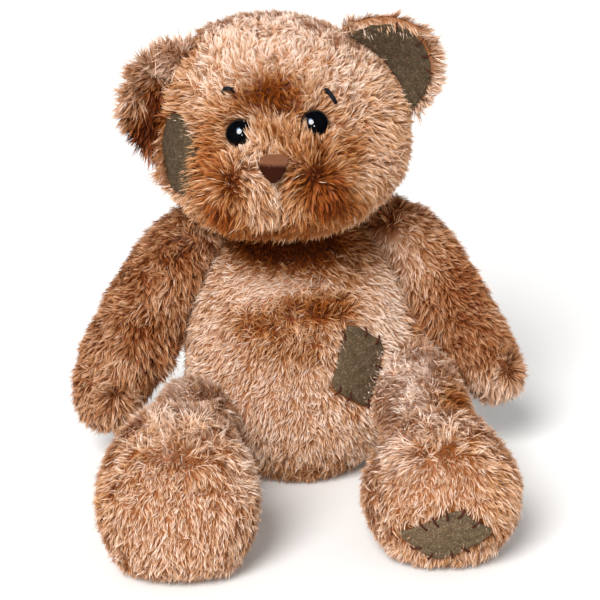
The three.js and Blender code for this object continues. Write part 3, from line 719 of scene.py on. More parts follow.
# How the whole head is brushed: down and away from the nose. The back of the bear has thinner pile.
head = {
    "nap": unit(at - np.array(NOSE, float)) + np.array([0.0, 0.2, -0.35]),
    "lay": np.full(len(at), 0.55),
    "tone": np.full(len(at), 0.56),
    "pile": np.full(len(at), 0.78),
    "thick": 1 - 0.2 * np.clip(out[:, 1] * 2, 0, 1),
}
# Each stroke is a centre, a reach, the way the pile lies, how flat, how pale, how long and how close.
for stroke in (
    # the forehead and crown: short, close and pale, partly painted sheen where they face the light
    ((-14, -24, 226), (46, 40, 20), (0, -0.5, 1), 0.6, 0.86, 0.54, 1.5),
    ((-40, -38, 210), (16, 20, 15), (-0.6, 0, 1), 0.6, 0.78, 0.7),
    ((24, -44, 208), (16, 20, 17), (0.6, 0, 0.8), 0.6, 0.8, 0.7),
    ((-50, -20, 216), (6, 12, 8), None, None, 0.34, None),
    # the fringes that cover the roots of the ears
    ((38, -26, 220), (10, 16, 11), (0.2, -0.8, 0.8), 0.6, 0.76, 0.6),
    ((51, -22, 199), (7, 16, 11), (1.6, -0.8, 0), 0.5, 0.66, 1.2),
    ((-56, -24, 202), (7, 16, 12), (-1, -0.3, 0.4), 0.5, 0.5, 1.3),
    ((-62, -22, 186), (6, 16, 10), (-1, -0.3, 0), 0.5, 0.3, 1.2),
    # the cheeks
    ((38, -46, 182), (14, 20, 22), (0.9, 0, -0.5), 0.6, 0.64, 0.95),
    ((22, -64, 180), (7, 12, 8), (0.7, 0, 0.3), 0.35, 0.3, 1.0),
    ((36, -50, 158), (12, 20, 12), (0.7, 0, -0.9), 0.6, 0.62, 1.1),
    ((-46, -52, 190), (9, 16, 12), (-0.8, 0, -0.3), 0.6, 0.56, 0.9),
    # beside the right lobe the cheek is darker, partly painted shade in the crease by the muzzle
    ((-40, -60, 187), (8, 14, 12), None, None, 0.34, None),
    ((-42, -58, 175), (8, 16, 12), (-1.6, -0.5, -1), 0.5, 0.24, 1.2),
    ((-47, -54, 164), (6, 16, 12), (-2.2, -0.6, -0.9), 0.55, 0.34, 1.6),
    # behind the cheek patch, reaching forward over its edge
    ((-66, -20, 158), (9, 10, 22), (-1.8, -1.2, 0), 0.45, 0.6, 2.2, 1.5),
    # between the eyes
    ((-12, -58, 204), (14, 16, 9), (0, -0.3, 1), 0.5, 0.04, 0.95),
    ((-27, -58, 202), (7, 12, 6), (-0.6, 0, 0.8), 0.5, 0.3, 0.9),
    ((3, -56, 208), (6, 12, 9), (0.2, 0, 1), 0.6, 0.66, 1.0),
    # the ledge over the nose, which stands up in front of the eyes
    ((-12, -70, 187), (16, 12, 5), (-0.2, -0.6, 2), 0.55, 0.44, 1.3),
    ((6, -70, 187), (9, 12, 4), (0.2, -0.8, 2.6), 0.66, 0.46, 1.45, 2.2),
    ((-27, -67, 183), (8, 12, 4), (-0.4, -0.8, 2.6), 0.68, 0.8, 1.5, 2.4),
    # the nape, where the head meets the shoulders, and the back of the ears
    ((-6, 6, 136), (46, 34, 9), (0, 0.4, -1), 0.5, 0.4, 1.5, 1.2),
    ((40, -4, 214), (12, 14, 14), (1.6, 0, 0.2), 0.5, 0.6, 1.2),
    ((-50, -6, 212), (12, 14, 14), (-1.6, 0, 0.2), 0.5, 0.5, 1.2),
    # under the jaw, darker with painted shade
    ((-8, -58, 139), (50, 26, 10), (0, 0.2, -1), 0.6, 0.2, 1.0),
    ((27, -60, 150), (12, 20, 9), (0.6, 0, -1), 0.6, 0.2, 1.0),
    ((-38, -64, 150), (9, 20, 8), (-0.6, 0, -1), 0.6, 0.18, 1.0),
):
    comb(head, at, *stroke)
burst(head, at, LEFT_LOBE, (11, 14, 9), 0.16)
burst(head, at, RIGHT_LOBE, (8, 14, 9), 0.26)
for stroke in (
    # the two lobes: dark in the middle and underneath, painted shade deep in the pile and below each lobe,
    # with long pale locks falling into the seam between
    ((6, -77, 181), (12, 14, 5), (0.3, 0, 1), 0.4, 0.32, 1.0),
    ((14, -74, 159), (12, 14, 10), (0.4, 0, -1), 0.5, 0.0, 1.0),
    ((6, -74, 147), (12, 14, 6), (0.1, 0, -1), 0.6, 0.22, 1.1),
    ((-20, -82, 166), (6, 14, 9), (0.8, -0.4, -2), 0.6, 0.66, 1.2),
    ((-16, -80, 152), (8, 14, 9), (0.6, -0.4, -2), 0.62, 0.6, 1.25),
    ((-34, -70, 152), (8, 14, 7), (-0.3, 0, -1), 0.6, 0.12, 1.1),
    ((-24, -76, 178), (8, 12, 5), (-0.5, -0.2, 0.8), 0.5, 0.6, 1.1),
    # the wisps that close over both ends of the nose
    ((-25, -78, 173), (4, 9, 6), (2.2, -0.6, -1), 0.5, 0.8, 1.2),
    ((0, -80, 172), (4, 9, 6), (-2.2, -0.6, -1), 0.45, 0.42, 1.1),
):
    comb(head, at, *stroke)
head_hard = hard_parts("head_hard", "eye_left", "eye_right", "nose", "cheek_patch")
stand_round(head, at, "cheek_patch", 8)
sew(forms["head"], head, PANELS["head"], head_hard, TAN_PLUSH, seed=100)

# ---- Ears --------------------------------------------------------------------------------------
# Two layers of brown plush, flattened and sewn to the head. The left one is lined with a piece of
# olive wool felt instead, whipped in with brown thread.


def felt_material():
    """Felted wool tweed: matt and hairy, dark olive brown, with pale and rust-coloured flecks."""
    material, tree = blank_material("Felted wool tweed")
    place = node(tree, "ShaderNodeTexCoord").outputs["Object"]
    mix = "ShaderNodeMix"
    # Clouds of 4 mm, with pale and rust-coloured flecks of 1 mm.
    cloudy = node(tree, "ShaderNodeTexNoise", {0: place, "Scale": 0.26 / MM, "Detail": 3.0})
    base = node(tree, mix, {0: cloudy, 6: linear("#33281B"), 7: linear("#655542")}, data_type="RGBA")
    hairs = node(tree, "ShaderNodeTexNoise", {0: place, "Scale": 1.0 / MM, "Detail": 4.0, "Roughness": 0.8})
    pale = node(tree, "ShaderNodeMapRange", {0: hairs, "From Min": 0.5, "From Max": 0.72, "To Max": 0.85})
    flecked = node(tree, mix, {0: pale, 6: base.outputs[2], 7: linear("#95805F")}, data_type="RGBA")
    flecks = node(tree, "ShaderNodeTexNoise", {0: place, "Scale": 1.1 / MM, "Detail": 2.0, "Distortion": 0.6})
    rust = node(tree, "ShaderNodeMapRange", {0: flecks, "From Min": 0.6, "From Max": 0.72, "To Max": 0.8})
    tweed = node(tree, mix, {0: rust, 6: flecked.outputs[2], 7: linear("#6A3A22")}, data_type="RGBA")
    # The felt is scaled lighter low down and darker high up: the foot's patch is the lightest and the ones on
    # the head the darkest, partly painted shade.
    height = node(tree, "ShaderNodeSeparateXYZ", {0: place})
    height_scale = node(
        tree,
        "ShaderNodeMapRange",
        {0: height.outputs[2], "From Min": 20 * MM, "From Max": 200 * MM, "To Min": 1.3, "To Max": 0.7},
    )
    glint_odds_and_height_tint = node(tree, "ShaderNodeVectorMath", {0: tweed.outputs[2], "Scale": height_scale}, operation="SCALE")
    nap = node(tree, "ShaderNodeBump", {"Height": hairs, "Strength": 1.0, "Distance": 0.6 * MM})
    felt = node(tree, "ShaderNodeBsdfPrincipled", {"Base Color": glint_odds_and_height_tint, "Normal": nap})
    felt.inputs["Roughness"].default_value = 0.95
    felt.inputs["Specular IOR Level"].default_value = 0.1
    node(tree, "ShaderNodeOutputMaterial", {0: felt})
    return material


FELT = felt_material()


def shaded_smooth(piece, material):
    """Gives a piece its one material, and rounds its shading."""
    piece.data.materials.append(material)
    piece.data.polygons.foreach_set("use_smooth", [True] * len(piece.data.polygons))
    return piece


# Felt puckers by this much where it is sewn, in mm.
PUCKER = 0.12


def felt_sheet(name, cad_name):
    """A piece of felt, soft at its cut edge, which follows the form that it is sewn on."""
    sheet = shaded_smooth(smooth_form(name, 0.6, 3, cad_name), FELT)
    at, out = points_of(sheet)
    ripple = np.sin(at[:, 0] * 0.9 + at[:, 2] * 0.5) + np.sin(at[:, 2] * 1.1 - at[:, 1] * 0.7)
    move_points(sheet, at + out * (PUCKER * ripple)[:, None])
    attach(sheet, "root")
    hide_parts(cad_name)
    return sheet


# How far from the head, in mm, an ear's rim comes to be drawn in fully.
RIM_FADE = 12


def pressed(piece, thin, inset, head_middle, head_reach):
    """Flattens an ear to a share of its thickness, and draws its free rim in by so many mm."""
    at, out = points_of(piece)
    free = np.clip((np.linalg.norm(at - head_middle, axis=1) - head_reach) / RIM_FADE, 0, 1)
    middle = at.mean(0)
    axes = np.linalg.svd(at - middle, full_matrices=False)[2]
    forward = axes[2] * (-1 if axes[2][1] > 0 else 1)
    flat = out - np.outer(out @ forward, forward)
    at = at - flat * (inset * free)[:, None]
    deep = (at - middle) @ forward
    move_points(piece, at - np.outer(deep * (1 - thin), forward))
    return forward, middle


def sewn_thread():
    """The tree that sweeps a round thread along paths."""
    tree, given = blank_tree(
        "Sewn thread", "Stitches", {"Geometry": ("Paths",), "Float": ("Thickness",), "Material": ("Thread",)}
    )
    radius = node(tree, "ShaderNodeMath", {0: given["Thickness"], 1: 0.5}, operation="MULTIPLY")
    paths = node(tree, "GeometryNodeMeshToCurve", {0: given["Paths"]})
    smooth = node(tree, "GeometryNodeCurveSplineType", {0: paths}, spline_type="CATMULL_ROM")
    fine = node(tree, "GeometryNodeResampleCurve", {"Curve": smooth, "Count": 9})
    ring = node(tree, "GeometryNodeCurvePrimitiveCircle", {"Resolution": 8, "Radius": radius})
    swept = node(tree, "GeometryNodeCurveToMesh", {"Curve": fine, "Profile Curve": ring, "Fill Caps": True})
    swept = node(tree, "GeometryNodeSetShadeSmooth", {0: swept})
    swept = node(tree, "GeometryNodeRealizeInstances", {0: swept})
    swept = node(tree, "GeometryNodeSetMaterial", {0: swept, 2: given["Thread"]})
    node(tree, "NodeGroupOutput", {0: swept})
    return tree


def thread_material(name, dark, pale):
    """Mercerised cotton thread: two plies, 0.7 mm to the twist, with a soft shine."""
    material, tree = blank_material(name)
    place = node(tree, "ShaderNodeTexCoord").outputs["Object"]
    ply = node(tree, "ShaderNodeTexNoise", {0: place, "Scale": 1.4 / MM, "Detail": 2.0})
    tint = node(tree, "ShaderNodeMix", {0: ply, 6: linear(dark), 7: linear(pale)}, data_type="RGBA")
    lift = node(tree, "ShaderNodeBump", {"Height": ply, "Strength": 0.4, "Distance": 0.2 * MM})
    thread = node(tree, "ShaderNodeBsdfPrincipled", {"Base Color": tint.outputs[2], "Normal": lift})
    thread.inputs["Roughness"].default_value = 0.6
    thread.inputs["Specular IOR Level"].default_value = 0.15
    node(tree, "ShaderNodeOutputMaterial", {0: thread})
    return material


SEWN_THREAD = sewn_thread()
BROWN_THREAD = thread_material("Brown cotton thread", "#240C06", "#5E2A1C")


def stitched(name, paths, thickness, thread):
    """Stitches along paths, each a list of places in mm."""
    mesh = bpy.data.meshes.new(name)
    spots = [tuple(np.array(spot, float) * MM) for path in paths for spot in path]
    starts = np.cumsum([0] + [len(path) for path in paths])
    links = [(k, k + 1) for a, b in zip(starts, starts[1:]) for k in range(a, b - 1)]
    mesh.from_pydata(spots, links, [])
    piece = through(linked(name, mesh), SEWN_THREAD, {"Thickness": thickness * MM, "Thread": thread})
    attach(piece, "root")
    return piece


# The course of one whip stitch, in mm inwards from the patch's edge and up from the felt: it comes up
# inside the edge, lies over it, and goes down outside it.
STITCH_COURSE = ((3.2, -0.4), (2.5, 0.5), (1.0, 0.8), (-0.7, 0.7), (-1.5, -0.9))
STITCH_LEAN = 0.8


def whipped(patch, turns, thickness=0.95):
    """Whip stitches over a patch's edge, each at so many degrees round it, and no two leaning alike."""
    at, _ = points_of(patch)
    middle = at.mean(0)
    up = np.linalg.svd(at - middle, full_matrices=False)[2][2]
    up = up * (-1 if up[1] > 0 else 1)
    across = unit(np.array([[1.0, 0, 0]]) - up * up[0])[0]
    along = np.cross(up, across)
    along = along * (-1 if along[2] < 0 else 1)
    flat = np.stack([(at - middle) @ across, (at - middle) @ along], 1)
    height = (at - middle) @ up
    paths = []
    for k, turn in enumerate(turns):
        way = np.array([math.cos(math.radians(turn)), math.sin(math.radians(turn))])
        beside = np.array([-way[1], way[0]])
        ahead = (flat @ way > 0) & (np.abs(flat @ beside) < 1.0)
        edge = (flat @ way)[ahead].max()
        lean = STITCH_LEAN * math.sin(2.4 * k + 1)
        path = []
        for inwards, lift in STITCH_COURSE:
            spot = way * (edge - inwards) + beside * lean * (inwards / 3.6)
            close = np.argsort(np.linalg.norm(flat - spot, axis=1))[:9]
            top = height[close].max()
            path.append(middle + across * spot[0] + along * spot[1] + up * (top + lift))
        paths.append(path)
    return stitched(patch.name.replace("felt", "whip_stitches"), paths, thickness, BROWN_THREAD)


head_middle = np.array([-6.0, -13.0, 177.0])
for side in ("left", "right"):
    layers = [f"ear_{side}_back"] + (["ear_right_lining"] if side == "right" else [])
    ear = smooth_form("skin_of_ear_" + side, 2.5, 5, f"ear_{side}_back", f"ear_{side}_lining")
    forward, middle = pressed(ear, thin=0.4, inset=3.2, head_middle=head_middle, head_reach=58)
    at, _ = points_of(ear)
    if side == "left":
        # It sits back a little, to let the felt lining lie in front of it.
        move_points(ear, at - forward * 2.0)
        at, _ = points_of(ear)
    away = unit(at - head_middle)
    rim = np.clip(np.linalg.norm(at - middle, axis=1) / 26 - 0.35, 0, 1)
    # The rim is painted paler, as the lit edge of the ear's cup, and its middle darker, as the shade inside
    # it.
    groom = {
        "nap": unit(at - middle) + 0.5 * away,
        "lay": 0.72 - 0.25 * rim,
        "tone": 0.6 + 0.4 * rim,
        "pile": 0.9 + 0.3 * rim,
        "thick": np.full(len(at), 1.1),
    }
    if side == "right":
        # the dark short middle, painted shade in the ear's cup, the paler top and side of the rim, and long
        # pile over its root
        comb(groom, at, (-71, -20, 180), (17, 14, 25), (-0.4, 0, -1), 0.6, 0.0, 0.7)
        comb(groom, at, (-64, -20, 212), (18, 14, 9), (-0.6, 0, 0.6), 0.6, 0.82, 1.1)
        comb(groom, at, (-84, -20, 196), (8, 14, 14), (-1, 0, -0.3), 0.55, 0.72, 1.2)
        comb(groom, at, (-70, -17, 163), (16, 14, 9), (0, -0.4, -2), 0.65, 0.34, 2.0)
    else:
        # the pale rim, and the fringe that hangs from it over the top edge of the felt
        comb(groom, at, (46, -16, 232), (26, 14, 9), (1.8, -0.3, 0.5), 0.72, 0.84, 1.0)
        comb(groom, at, (70, -18, 205), (12, 14, 26), (1.8, -0.3, -0.2), 0.66, 0.84, 1.1)
        stand_round(groom, at, "ear_left_lining", 4)
        comb(groom, at, (44, -20, 231), (26, 10, 4), (0.6, -0.8, -2), 0.55, 0.74, 1.0)
        groom["thick"] = groom["thick"] + 0.6
    hard = hard_parts("ear_hard", "ear_left_lining")
    sew(ear, groom, layers, hard, BROWN_PLUSH, seed=150 if side == "left" else 160)
    bpy.data.objects.remove(hard)
ear_felt = felt_sheet(
    "felt_ear_lining", "ear_left_lining"
)
whipped(ear_felt, (96, 40, 6, 336, 300), thickness=0.7)

# ---- Eyes --------------------------------------------------------------------------------------
# Black safety eyes, moulded in polystyrene: a dome and its stem in one piece. The stem goes through
# the plush, and a washer pressed on it inside the head locks the eye in place.


def eye_material():
    """Black polystyrene, moulded in a polished tool: deep and wet-looking."""
    material, tree = blank_material("Polished black polystyrene")
    place = node(tree, "ShaderNodeTexCoord").outputs["Object"]
    # Rubbed a little duller in patches of 3 mm.
    haze = node(tree, "ShaderNodeTexNoise", {0: place, "Scale": 0.35 / MM, "Detail": 3.0})
    blacks = {0: haze, 6: linear("#030304"), 7: linear("#0B0C10")}
    rubbed = {0: haze, "From Min": 0.4, "From Max": 0.7, "To Min": 0.05, "To Max": 0.12}
    wear = node(tree, "ShaderNodeMapRange", rubbed)
    tint = node(tree, "ShaderNodeMix", blacks, data_type="RGBA")
    gloss = node(tree, "ShaderNodeBsdfPrincipled", {"Base Color": tint.outputs[2], "Roughness": wear})
    gloss.inputs["IOR"].default_value = 1.5
    gloss.inputs["Specular IOR Level"].default_value = 0.5
    node(tree, "ShaderNodeOutputMaterial", {0: gloss})
    return material


def washer_material():
    """Natural polypropylene: milky in clouds of 3 mm, and a little waxy."""
    material, tree = blank_material("Natural polypropylene")
    place = node(tree, "ShaderNodeTexCoord").outputs["Object"]
    milk = node(tree, "ShaderNodeTexNoise", {0: place, "Scale": 0.3 / MM, "Detail": 2.0})
    whites = {0: milk, 6: linear("#D8D6CE"), 7: linear("#EAE8E1")}
    tint = node(tree, "ShaderNodeMix", whites, data_type="RGBA")
    wax = node(tree, "ShaderNodeBsdfPrincipled", {"Base Color": tint.outputs[2], "Roughness": 0.42})
    node(tree, "ShaderNodeOutputMaterial", {0: wax})
    return material


EYE_BLACK, WASHER_WHITE = eye_material(), washer_material()
DOME_STEPS, TURN_STEPS = 14, 40
for side in ("left", "right"):
    # The moulding's axis and sizes, from the CAD's solid.
    cad_name = "eye_" + side
    rough = welded(cad_name + "_copy", cad_name)
    at, _ = points_of(rough)
    bpy.data.objects.remove(rough)
    middle = at.mean(0)
    spread, axes = np.linalg.eigh(np.cov((at - middle).T))
    gaps = [abs(spread[(i + 1) % 3] - spread[(i + 2) % 3]) for i in range(3)]
    axis = axes[:, int(np.argmin(gaps))]
    axis = axis * (-1 if axis[1] > 0 else 1)
    deep = (at - middle) @ axis
    wide = np.linalg.norm(at - middle - np.outer(deep, axis), axis=1)
    radius, rim = wide.max(), deep[wide > wide.max() * 0.98].mean()
    crown, foot = deep.max() - rim, deep.min() - rim
    stem = wide[deep < deep.min() + 0.2].max()
    # Half of its section, turned into a solid: the stem, the back of the dome, its edge, and then the dome.
    profile = [(0.0, foot), (stem * 0.8, foot), (stem, foot + 0.4), (stem, -0.8)]
    profile += [(radius * 0.9, -0.6), (radius * 0.985, -0.3)]
    for k in range(DOME_STEPS):
        bend = math.radians(90) * k / DOME_STEPS
        profile.append((radius * math.cos(bend), crown * math.sin(bend)))
    profile.append((0.0, crown))
    turned = bmesh.new()
    spine = [turned.verts.new((r, 0, z)) for r, z in profile]
    edges = [turned.edges.new(pair) for pair in zip(spine, spine[1:])]
    way_round = {"cent": (0, 0, 0), "axis": (0, 0, 1), "angle": math.tau}
    bmesh.ops.spin(turned, geom=spine + edges, steps=TURN_STEPS, use_duplicate=False, **way_round)
    bmesh.ops.remove_doubles(turned, verts=turned.verts, dist=0.001)
    bmesh.ops.recalc_face_normals(turned, faces=turned.faces)
    set_up = Vector(axis).to_track_quat("Z", "Y").to_matrix()
    seat = Vector(middle) + Vector(axis) * rim
    for vert in turned.verts:
        vert.co = (set_up @ vert.co + seat) * MM
    mesh = bpy.data.meshes.new("black_eye_" + side)
    turned.to_mesh(mesh)
    turned.free()
    eye = shaded_smooth(linked("black_eye_" + side, mesh), EYE_BLACK)
    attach(eye, "root")
    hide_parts(cad_name)
    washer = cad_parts[f"eye_{side}_washer"]
    washer.data.materials.clear()
    washer.data.materials.append(WASHER_WHITE)

# ---- Nose --------------------------------------------------------------------------------------
# A small triangle of brown cotton velour, sewn down over a little fill at the top of the muzzle's
# seam. Its top is paler.

# The pale part starts this share of the way up, and fades in over so many mm, with a ragged edge.
PALE_FROM, PALE_FADE, PALE_EDGE = 0.62, 1.6, 1.4


def velour_material():
    """Cotton velour: a cut pile in 0.6 mm wisps, soft and deep in colour, paler along its top."""
    material, tree = blank_material("Cotton velour")
    place = node(tree, "ShaderNodeTexCoord").outputs["Object"]
    height = node(tree, "ShaderNodeSeparateXYZ", {0: place}).outputs[2]
    fuzz = node(tree, "ShaderNodeTexNoise", {0: place, "Scale": 1.8 / MM, "Detail": 2.0})
    edge = node(tree, "ShaderNodeMath", {0: fuzz, 1: PALE_EDGE * MM, 2: height}, operation="MULTIPLY_ADD")
    low, high = (c.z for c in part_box("nose"))
    band = low + (high - low) * PALE_FROM
    pale_top = node(tree, "ShaderNodeMapRange", {0: edge, "From Min": band, "From Max": band + PALE_FADE * MM})
    mix = "ShaderNodeMix"
    dark = node(tree, mix, {0: fuzz, 6: linear("#1C0804"), 7: linear("#3C1A0E")}, data_type="RGBA")
    pale = node(tree, mix, {0: fuzz, 6: linear("#5A3422"), 7: linear("#84583F")}, data_type="RGBA")
    tint = node(tree, mix, {0: pale_top, 6: dark.outputs[2], 7: pale.outputs[2]}, data_type="RGBA")
    pile = node(tree, "ShaderNodeBump", {"Height": fuzz, "Strength": 1.0, "Distance": 0.5 * MM})
    velour = node(tree, "ShaderNodeBsdfPrincipled", {"Base Color": tint.outputs[2], "Normal": pile})
    velour.inputs["Roughness"].default_value = 0.9
    velour.inputs["Specular IOR Level"].default_value = 0.05
    node(tree, "ShaderNodeOutputMaterial", {0: velour})
    return material


nose = shaded_smooth(grown(smooth_form("velour_nose", 0.6, 6, "nose"), -0.5), velour_material())
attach(nose, "root")
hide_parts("nose")

# ---- Brows -------------------------------------------------------------------------------------
# Each brow is a row of satin stitches in black embroidery cotton, sewn by hand over the eye. It is sunk
# in the pile, so that only a part of it shows.

BLACK_THREAD = thread_material("Black cotton thread", "#07070A", "#1E1E26")
# The part of each brow that shows, along it from -1 to 1: its middle, and how far it goes each way.
BROW_SHOWS, BROW_REACH = {"left": 0.68, "right": 0.12}, 0.36
# How far the stitches sink into the pile, in mm: where they show, and how much more elsewhere.
BROW_SINK, BROW_HIDE = 0.6, 7.0
for side in ("left", "right"):
    brow = shaded_smooth(smooth_form("satin_brow_" + side, 0.3, 4, "brow_" + side), BLACK_THREAD)
    at, _ = points_of(brow)
    along = (at[:, 0] - at[:, 0].mean()) / (np.ptp(at[:, 0]) / 2)
    hidden = 1 - np.exp(-(((along - BROW_SHOWS[side]) / BROW_REACH) ** 4))
    move_points(brow, at + (BROW_SINK + BROW_HIDE * hidden)[:, None] * np.array([0, 0.85, -0.5]))
    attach(brow, "root")
    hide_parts("brow_" + side)

# ---- Cheek patch -------------------------------------------------------------------------------
# An oval of the same olive felt, sewn on the right cheek below the ear. Its stitches are lost in the
# pile that stands up round it.

felt_sheet("felt_cheek_patch", "cheek_patch")

# ---- Body --------------------------------------------------------------------------------------
# A pear of tan plush: a wide front panel, two back panels that close in a seam down the middle,
# and a seat. The belly is pale, partly painted sheen, with darker bands across it.

at, out = points_of(forms["body"])
body = {
    "nap": np.stack([(at[:, 0] + 4) * 0.022, 0 * at[:, 0], -np.ones(len(at))], 1),
    "lay": np.full(len(at), 0.55),
    "tone": np.full(len(at), 0.7),
    "pile": np.full(len(at), 0.68),
    "thick": 1 - 0.2 * np.clip(out[:, 1] * 2, 0, 1),
}
for stroke in (
    # the pale chest and side, partly painted sheen
    ((-18, -34, 108), (30, 20, 15), (-0.9, 0, -0.5), 0.7, 0.86, None),
    ((44, -30, 60), (16, 20, 24), None, None, 0.8, None),
    # the brown bands across the belly
    ((10, -44, 94), (20, 20, 7), (0.3, -0.2, 1), 0.45, 0.22, 0.9),
    ((-18, -44, 86), (16, 20, 7), (-0.3, -0.2, 0.8), 0.45, 0.3, 0.9),
    ((-4, -48, 76), (18, 20, 9), (-0.2, 0, -1), 0.5, 0.44, 0.9),
    # the round of the belly, close and short, and its two flanks
    ((-18, -50, 48), (34, 20, 24), (-0.2, 0, -1), 0.42, 0.76, 0.56),
    ((44, -26, 84), (10, 20, 26), (0.5, 0, -1), 0.65, 0.84, None),
    ((-50, -28, 62), (12, 20, 28), (-0.6, 0, -1), 0.65, 0.72, None),
    # the seat between the thighs, and the left armpit
    ((0, -44, 6), (44, 24, 9), (0.2, -1.6, -1), 0.6, 0.48, 1.3),
    ((55, -7, 74), (8, 14, 10), (1, 0, 0.4), 0.4, 0.5, 1.9),
    # the throat under the chin, painted dark as the head's shadow, a paler spot beside it, and the nape
    ((-6, -34, 121), (60, 40, 12), (0, -0.3, -1), 0.5, 0.0, None),
    ((24, -30, 110), (11, 18, 9), None, 0.5, 0.54, None),
    ((0, 14, 132), (48, 26, 9), (0, 0.3, 1.6), 0.45, 0.44, 1.6, 1.2),
):
    comb(body, at, *stroke)
stand_round(body, at, "tummy_patch", 8)
body_hard = hard_parts("body_hard", "tummy_patch")
FINE_LOCKS = 1.4 * MM
sew(forms["body"], body, PANELS["body"], body_hard, TAN_PLUSH, seed=200, lock_size=FINE_LOCKS)

# ---- Tummy patch -------------------------------------------------------------------------------
# A square-cut piece of the felt over a worn place on the left of the belly, whipped on with a few
# stitches of brown thread over its edge.

tummy_patch = felt_sheet("felt_tummy_patch", "tummy_patch")
whipped(tummy_patch, (118, 78, 48, 350, 318, 286, 250, 226))

# ---- Arms --------------------------------------------------------------------------------------
# Two long bags of the browner plush, each a front and a back panel, turned, filled, and sewn flat into
# the shoulders. The paws are paler.

ARM_STROKES = {
    "left": (
        # the pale shoulder, with the pale line of a seam
        ((54, -14, 108), (11, 14, 20), (0.3, 0, -1), 0.6, 0.72, 0.7),
        ((41, -9, 127), (2.2, 9, 3.5), None, 0.7, 1.0, 0.6),
        ((46, -12, 121), (2.2, 9, 3.5), None, 0.7, 1.0, 0.6),
        ((50, -14, 115), (2.2, 9, 3.5), None, 0.7, 0.95, 0.6),
        # the armpit, the dark outside and forearm, the pale paw, and the join to the neck, darker with
        # painted shade under the head
        ((62, -8, 76), (8, 14, 10), (-1.4, 0, -1), 0.4, 0.4, 1.7),
        ((84, -12, 96), (16, 14, 24), (0.9, 0, -0.6), 0.55, 0.34, 0.62),
        ((90, -14, 66), (14, 14, 14), (0.7, 0, -1), 0.6, 0.4, None),
        ((104, -14, 42), (16, 20, 14), (0.4, 0, -1), 0.6, 0.84, 0.9),
        ((38, -8, 132), (14, 14, 9), (-0.8, -0.2, 0.6), 0.4, 0.3, 1.4),
    ),
    "right": (
        # the shoulder, and the dark outside
        ((-60, -15, 110), (10, 14, 18), (0.3, -0.2, -0.6), 0.45, 0.36, 0.9),
        ((-66, -12, 96), (6, 14, 7), (-0.4, 0, -1), 0.8, 0.7, 1.1),
        ((-84, -7, 94), (12, 14, 22), (-0.8, 0, -0.6), 0.55, 0.4, 0.65),
        # the forearm and the armpit, the paler paw, and the join to the neck, darker with painted shade under
        # the head
        ((-76, -20, 72), (12, 14, 12), (0.2, 0, -1), 0.45, 0.34, None),
        ((-94, -24, 58), (14, 14, 14), (-0.3, 0, -1), 0.7, 0.58, 0.9),
        ((-68, -14, 56), (7, 14, 14), (1.4, 0, -1), 0.5, 0.5, 1.5),
        ((-90, -26, 28), (22, 20, 14), (0.1, 0, -1), 0.6, 0.66, 0.9),
        ((-34, -8, 130), (10, 14, 9), (0.6, -0.2, 0.6), 0.45, 0.2, 1.2),
    ),
}
# In each paw the pile opens round one spot.
ARM_BURST = {"left": ((108, -12, 50), (6, 9, 6), 0.5), "right": ((-92, -27, 40), (6, 10, 6), 0.5)}
for side, way in (("left", 1), ("right", -1)):
    at, out = points_of(forms["arm_" + side])
    arm = {
        "nap": np.tile(np.array([way * 0.5, 0.0, -1.0]), (len(at), 1)),
        "lay": np.full(len(at), 0.58),
        "tone": np.full(len(at), 0.5),
        "pile": np.full(len(at), 0.72),
        "thick": 1 - 0.2 * np.clip(out[:, 1] * 2, 0, 1),
    }
    for stroke in ARM_STROKES[side]:
        comb(arm, at, *stroke)
    burst(arm, at, *ARM_BURST[side])
    seed = 300 if side == "left" else 310
    sew(forms["arm_" + side], arm, PANELS["arm_" + side], body_hard, BROWN_PLUSH, seed)

# ---- Legs --------------------------------------------------------------------------------------
# Each leg is an inner and an outer panel of tan plush that end in a foot, with a sole sewn into the
# front of it. The soles are worn short, and the pile on top of the feet is still long.

LEG_STROKES = {
    "left": (
        # the thigh: pale along its top, a painted highlight, brown outside, longer over its root
        ((58, -64, 62), (16, 34, 18), (-0.9, -0.7, 1.1), 0.5, 0.9, 0.85),
        ((46, -44, 66), (12, 20, 14), (-1, -0.6, 1.1), 0.5, 0.88, 0.85),
        ((74, -80, 62), (10, 26, 14), (1, -0.6, 0.3), 0.5, 0.12, 1.0),
        ((60, -26, 70), (12, 12, 9), (0.2, -0.2, 2), 0.5, 0.66, 1.4),
        # the foot: its top, and its sole, which is close and short
        ((62, -128, 70), (26, 12, 7), (-0.1, -0.2, 1), 0.6, 0.84, 1.25),
        ((60, -142, 42), (36, 18, 22), (-0.2, -0.4, -1), 0.55, 0.68, 0.58),
        ((44, -132, 56), (12, 14, 9), (-0.8, -0.2, -0.5), 0.7, 0.8, 1.15),
        ((92, -134, 40), (12, 14, 24), (0.6, 0, -1), 0.6, 0.56, 0.8),
        ((62, -142, 10), (36, 18, 8), (0, 0.3, -1), 0.6, 0.6, 0.7),
    ),
    "right": (
        # the foot: its top, its sole and its outside
        ((-54, -140, 74), (30, 12, 8), (0, -0.1, 1), 0.6, 0.7, 1.35),
        ((-54, -158, 30), (40, 18, 26), (0, -0.2, -1), 0.5, 0.7, 0.56),
        ((-90, -140, 46), (9, 26, 24), (-0.8, 0, -0.6), 0.6, 0.54, 0.8),
        # the thigh, pale along its top with a painted highlight, and the inside of the foot
        ((-56, -96, 72), (26, 34, 16), (0.2, -0.8, 1.1), 0.5, 0.88, 0.85),
        ((-62, -46, 62), (20, 20, 14), (-0.6, -0.4, 1.8), 0.5, 0.84, 1.2),
        ((-24, -134, 54), (8, 30, 26), (0.8, 0, -0.3), 0.6, 0.72, 0.75),
    ),
}
